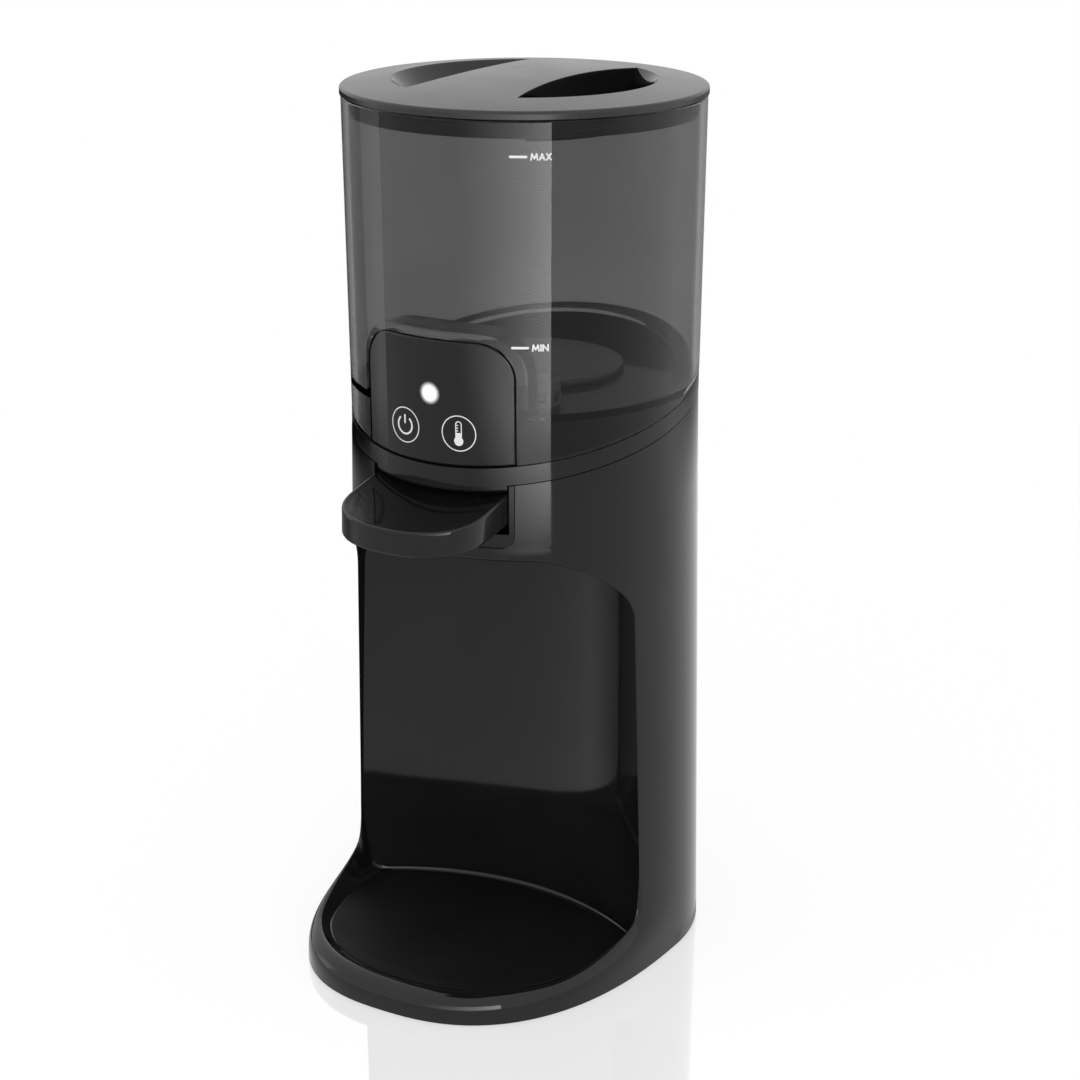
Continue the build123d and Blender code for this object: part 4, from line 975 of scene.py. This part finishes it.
# %% Lever paddle
LEVER_ROOT = np.array([0.0, -62.0, 211.6])
LEVER_TILT = 0.203
LEVER_MIDDLE = np.array([0.0, -13.0])
LEVER_LOW_Z = 199.2
LEVER_LOW_TILT = 0.145
BOWL_DEPTH = 2.4
BOWL_SHARE = 0.958
BOWL_ROWS = 16
RIM_RINGS = [[0.972, 0.1], [0.984, 0.0], [0.993, -0.3], [0.998, -0.8], [1.0, -1.5]]
UNDER_RINGS = np.array([[1.0, 1.2], [0.998, 0.6], [0.990, 0.15], [0.975, 0.0], [0.5, 0.0], [0.0, 0.0]])

bowl = np.linspace(0, BOWL_SHARE, BOWL_ROWS)
bowl_rings = np.stack([bowl, -BOWL_DEPTH * (1 - (bowl / BOWL_SHARE) ** 2)], axis=1)
lever_along = np.array([0.0, 1.0, LEVER_TILT]) / math.hypot(1, LEVER_TILT)
lever_above = np.array([0.0, -LEVER_TILT, 1.0]) / math.hypot(1, LEVER_TILT)


def on_lever(rings):
    """Rings of the outline on the lever's tilted plane: each row of rings is a size and a height."""
    flat = LEVER_MIDDLE + rings[:, None, :1] * (lever_outline - LEVER_MIDDLE)
    across = flat[..., :1] * np.array([1.0, 0.0, 0.0])
    return LEVER_ROOT + across + flat[..., 1:] * lever_along + rings[:, None, 1:] * lever_above


paddle_top = on_lever(np.vstack([bowl_rings, RIM_RINGS]))
paddle_under = on_lever(UNDER_RINGS * [1, 0])
under_z = LEVER_LOW_Z + LEVER_LOW_TILT * (paddle_under[..., 1] - LEVER_ROOT[1])
paddle_under[..., 2] = under_z + UNDER_RINGS[:, None, 1]
paddle_points = np.transpose(np.concatenate([paddle_top, paddle_under]), (1, 0, 2))
paddle = mesh_object("lever_paddle", [placed(paddle_points, close=True)], gloss_black)
weld(paddle)
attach(paddle, "lever")
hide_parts("lever")
print("lever paddle:", len(paddle.data.polygons), "faces")

# %% [markdown]
# Over the lever the slot has to stay open for the swing, but from the front it should look shut.
# A curved brow hangs from the seam and ends just above the lever's tilted top.

# %% Brow over the lever
BROW_R = 70.5
BROW_HALF = math.radians(25.8)
BROW_GAP = 1.4
BROW_TUCK = 1.0
BROW_T = 1.6
BROW_ROWS = 5
BROW_COUNT = 61

brow_turn = np.linspace(-BROW_HALF, BROW_HALF, BROW_COUNT)
brow_y = -BROW_R * np.cos(brow_turn)
brow_low = LEVER_ROOT[2] + LEVER_TILT * (brow_y - LEVER_ROOT[1]) + BROW_GAP
brow_high = SEAM_Z + SEAM_TILT * brow_y + BROW_TUCK
brow_z = brow_low + np.linspace(0, 1, BROW_ROWS)[:, None] * (brow_high - brow_low)
brow_x = BROW_R * np.sin(brow_turn) + 0 * brow_z
brow_points = np.stack([brow_x, brow_y + 0 * brow_z, brow_z], axis=-1)
brow = mesh_object("slot_brow", [placed(brow_points)], gloss_black)
weld(brow)
brow_wall = brow.modifiers.new("wall", "SOLIDIFY")
brow_wall.thickness = BROW_T * MM
brow_wall.offset = -1.0
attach(brow, "base")
print("brow:", round(float(np.min(brow_high - brow_low)), 2), "mm at its narrowest")

# %% [markdown]
# The marks on panel and tank are printed with white ink. Each is drawn flat, in millimetres, as a
# ribbon along a path or as a pressed disc, and then rolled on to the tank's cone, because panel
# and tank share that cone. A Solidify modifier gives the ink its thickness.

# %% Roll flat artwork on to the cone
CONE_LOW_Z = 237.7
CONE_LOW_R = 71.0
CONE_HIGH_Z = 356.1
CONE_HIGH_R = 72.5
INK_LIFT = 0.03
INK_T = 0.05


def rolled(flat):
    """Points in metres from (arc length, height) in mm on the cone shared by panel and tank.

    The radius grows evenly with height, and the arc length over the radius is the angle from
    the front. The points are then lifted a hair off the cone.
    """
    z = flat[..., 1]
    radius = CONE_LOW_R + (CONE_HIGH_R - CONE_LOW_R) * (z - CONE_LOW_Z) / (CONE_HIGH_Z - CONE_LOW_Z)
    turn = flat[..., 0] / radius
    radius = radius + INK_LIFT
    points = np.stack([radius * np.sin(turn), -radius * np.cos(turn), z], axis=-1)
    return MM * points + np.array(TANK_SPOT)


def ribbon(path, width, close=False):
    """Flat strip along a path: each path point is moved half the width along its normal, both ways."""
    if close:
        run = np.roll(path, -1, axis=0) - np.roll(path, 1, axis=0)
    else:
        run = np.gradient(path, axis=0)
    run = run / length_along(run)
    normal = np.stack([-run[:, 1], run[:, 0]], axis=1)
    steps = np.array([0.5, 0.0, -0.5])[None, :, None] * width
    return path[:, None, :] + steps * normal[:, None, :], grid_quads(len(path), 3, close)


def loop(centre, radius, count=72):
    """Closed circle as a path."""
    return bend(centre, radius, 0, 360, count + 1)[:-1]


def line(start, end, count=8):
    """Straight path."""
    return np.linspace(start, end, count)


def dot(centre, radius, count=13):
    """Flat disc."""
    return np.array(centre) + radius * pane_to_disc(count), grid_quads(count, count)


def printed(name, shapes, finish, body, thick=True):
    """Rolls flat shapes on to the cone as one printed piece that rides on a body."""
    piece = mesh_object(name, [(rolled(flat), faces) for flat, faces in shapes], finish)
    if thick:
        ink = piece.modifiers.new("ink", "SOLIDIFY")
        ink.thickness = INK_T * MM
        ink.offset = 1.0
    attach(piece, body)
    print(name, len(piece.data.polygons), "faces")
    return piece


# %% White ink, with a faint painted glow
white_ink_with_painted_glow, tree = new_finish("white_ink_with_painted_glow")
# The ink glows faintly: a painted glow, not a lamp.
shader = plain_shader(tree, Emission_Color=(1, 1, 1, 1), Emission_Strength=0.08)
speckle = noise(tree, 0.0006)
join(tree, two_tone(tree, speckle, (0.80, 0.80, 0.80), (0.90, 0.90, 0.90)), shader.inputs["Base Color"])
join(tree, between(tree, speckle, 0.35, 0.5), shader.inputs["Roughness"])
print("ink:", INK_T, "mm thick")

# %% On-off sign in a thin ring
SIGN_Z = 234.8
SIGN_OUT = 12.4
RING_R = 7.0
RING_LINE = 0.42
POWER_R = 3.6
POWER_LINE = 0.75
POWER_GAP = 38.0
POWER_STROKE = ((0.0, 0.6), (0.0, 4.2))

power_spot = np.array([-SIGN_OUT, SIGN_Z])
printed(
    "power_sign",
    [
        ribbon(loop(power_spot, RING_R), RING_LINE, close=True),
        ribbon(bend(power_spot, POWER_R, 90 + POWER_GAP, 450 - POWER_GAP, 48), POWER_LINE),
        ribbon(line(power_spot + POWER_STROKE[0], power_spot + POWER_STROKE[1]), POWER_LINE),
    ],
    white_ink_with_painted_glow,
    "base",
)

# %% Thermometer in a thin ring
STEM_HALF = 1.15
STEM_TOP = 3.6
STEM_LOW = -2.0
STEM_FULL = 0.2
THERMO_LINE = 0.4
BULB_R = 1.9
BULB_LOW = -3.1
TICK_L = 1.0
TICKS = (1.0, 2.1, 3.2)

thermo_spot = np.array([SIGN_OUT, SIGN_Z])
stem_top = thermo_spot + (0, STEM_TOP)
stem_low = thermo_spot + (0, STEM_LOW)
stem_side = np.array([STEM_HALF, 0])
stem_outline = np.vstack([
    line(stem_low + stem_side, stem_top + stem_side)[:-1],
    bend(stem_top, STEM_HALF, 0, 180, 17),
    line(stem_top - stem_side, stem_low - stem_side)[1:],
])
ticks = [
    ribbon(line(thermo_spot + (-STEM_HALF, tick), thermo_spot + (TICK_L - STEM_HALF, tick)), THERMO_LINE)
    for tick in TICKS
]
printed(
    "thermo_sign",
    [
        ribbon(loop(thermo_spot, RING_R), RING_LINE, close=True),
        ribbon(stem_outline, THERMO_LINE),
        ribbon(line(stem_low, thermo_spot + (0, STEM_FULL)), 2 * STEM_HALF),
        dot(thermo_spot + (0, BULB_LOW), BULB_R),
        *ticks,
    ],
    white_ink_with_painted_glow,
    "base",
)

# %% [markdown]
# The status light shines through the cover as a soft round spot. A real cover blurs the chip, so
# the spot is a disc whose brightness falls off with the distance from its middle. The disc
# carries its own flat coordinates in a UV map, which the material reads.

# %% Light spot
GLOW_Z = 249.5
GLOW_R = 5.2
GLOW_CORE = 0.16
GLOW_EDGE = 0.47
GLOW_MOST = 0.9
SPOT_GRID = 33

spot_glow, tree = new_finish("spot_glow")
shader = plain_shader(tree, Emission_Color=(1, 1, 1, 1), Emission_Strength=0.9, Roughness=0.5)
spot_place = add_node(tree, "ShaderNodeUVMap")
spot_place.uv_map = "spot"
from_middle = vector_step(tree, "DISTANCE", spot_place.outputs["UV"], (0.5, 0.5, 0.0)).outputs["Value"]
join(tree, span(tree, from_middle, GLOW_CORE, GLOW_EDGE, GLOW_MOST, 0.0, smooth=True), shader.inputs["Alpha"])
spot_tone = two_tone(tree, noise(tree, 0.001), (0.9, 0.9, 0.9), (0.95, 0.95, 0.95))
join(tree, spot_tone, shader.inputs["Base Color"])

spot_disc = dot((0.0, GLOW_Z), GLOW_R, SPOT_GRID)
light_spot = printed("light_spot", [spot_disc], spot_glow, "base", thick=False)
spot_map = light_spot.data.uv_layers.new(name="spot")
corner_points = np.empty(len(light_spot.data.loops), dtype=np.int32)
light_spot.data.loops.foreach_get("vertex_index", corner_points)
flat_spot = 0.5 + 0.5 * pane_to_disc(SPOT_GRID).reshape(-1, 2)
spot_map.data.foreach_set("uv", flat_spot[corner_points].ravel())

# %% [markdown]
# The fill lines on the tank are a bar and a short word each. All the letters needed are made of
# straight strokes, so each letter is a width and a few strokes in a box one unit wide and high. A
# stroke is a chain of ribbons with a dot at each corner, which rounds it as printed lettering is.

# %% Fill lines
LEVELS = {"MAX": 342.7, "MIN": 269.9}
BAR_START = 34.0
BAR_L = 5.9
BAR_T = 0.95
WORD_GAP = 1.8
LETTER_H = 2.3
LETTER_LINE = 0.58
LETTER_SPACE = 0.8
STROKES = {
    "M": (2.4, [[(0, 0), (0.12, 1), (0.5, 0.2), (0.88, 1), (1, 0)]]),
    "A": (1.8, [[(0, 0), (0.5, 1), (1, 0)], [(0.2, 0.3), (0.8, 0.3)]]),
    "X": (1.6, [[(0, 0), (1, 1)], [(0, 1), (1, 0)]]),
    "I": (0.0, [[(0, 0), (0, 1)]]),
    "N": (1.9, [[(0, 0), (0, 1), (1, 0), (1, 1)]]),
}


def word_shapes(word, start, middle_z):
    """Ribbons and dots of a word that begins at an arc length and is centred on a height."""
    shapes = []
    for letter in word:
        width, strokes = STROKES[letter]
        letter_low = np.array([start, middle_z - LETTER_H / 2])
        for stroke in strokes:
            spots = letter_low + np.array(stroke) * (width, LETTER_H)
            shapes += [ribbon(line(*ends), LETTER_LINE) for ends in zip(spots[:-1], spots[1:])]
            shapes += [dot(spot, LETTER_LINE / 2, 7) for spot in spots]
        start += width + LETTER_SPACE
    return shapes


for word, height in LEVELS.items():
    bar_ends = ((BAR_START, height), (BAR_START + BAR_L, height))
    bar = [ribbon(line(*bar_ends), BAR_T)] + [dot(end, BAR_T / 2, 9) for end in bar_ends]
    letters = word_shapes(word, BAR_START + BAR_L + WORD_GAP, height)
    printed("fill_line_" + word.lower(), bar + letters, white_ink_with_painted_glow, "tank")
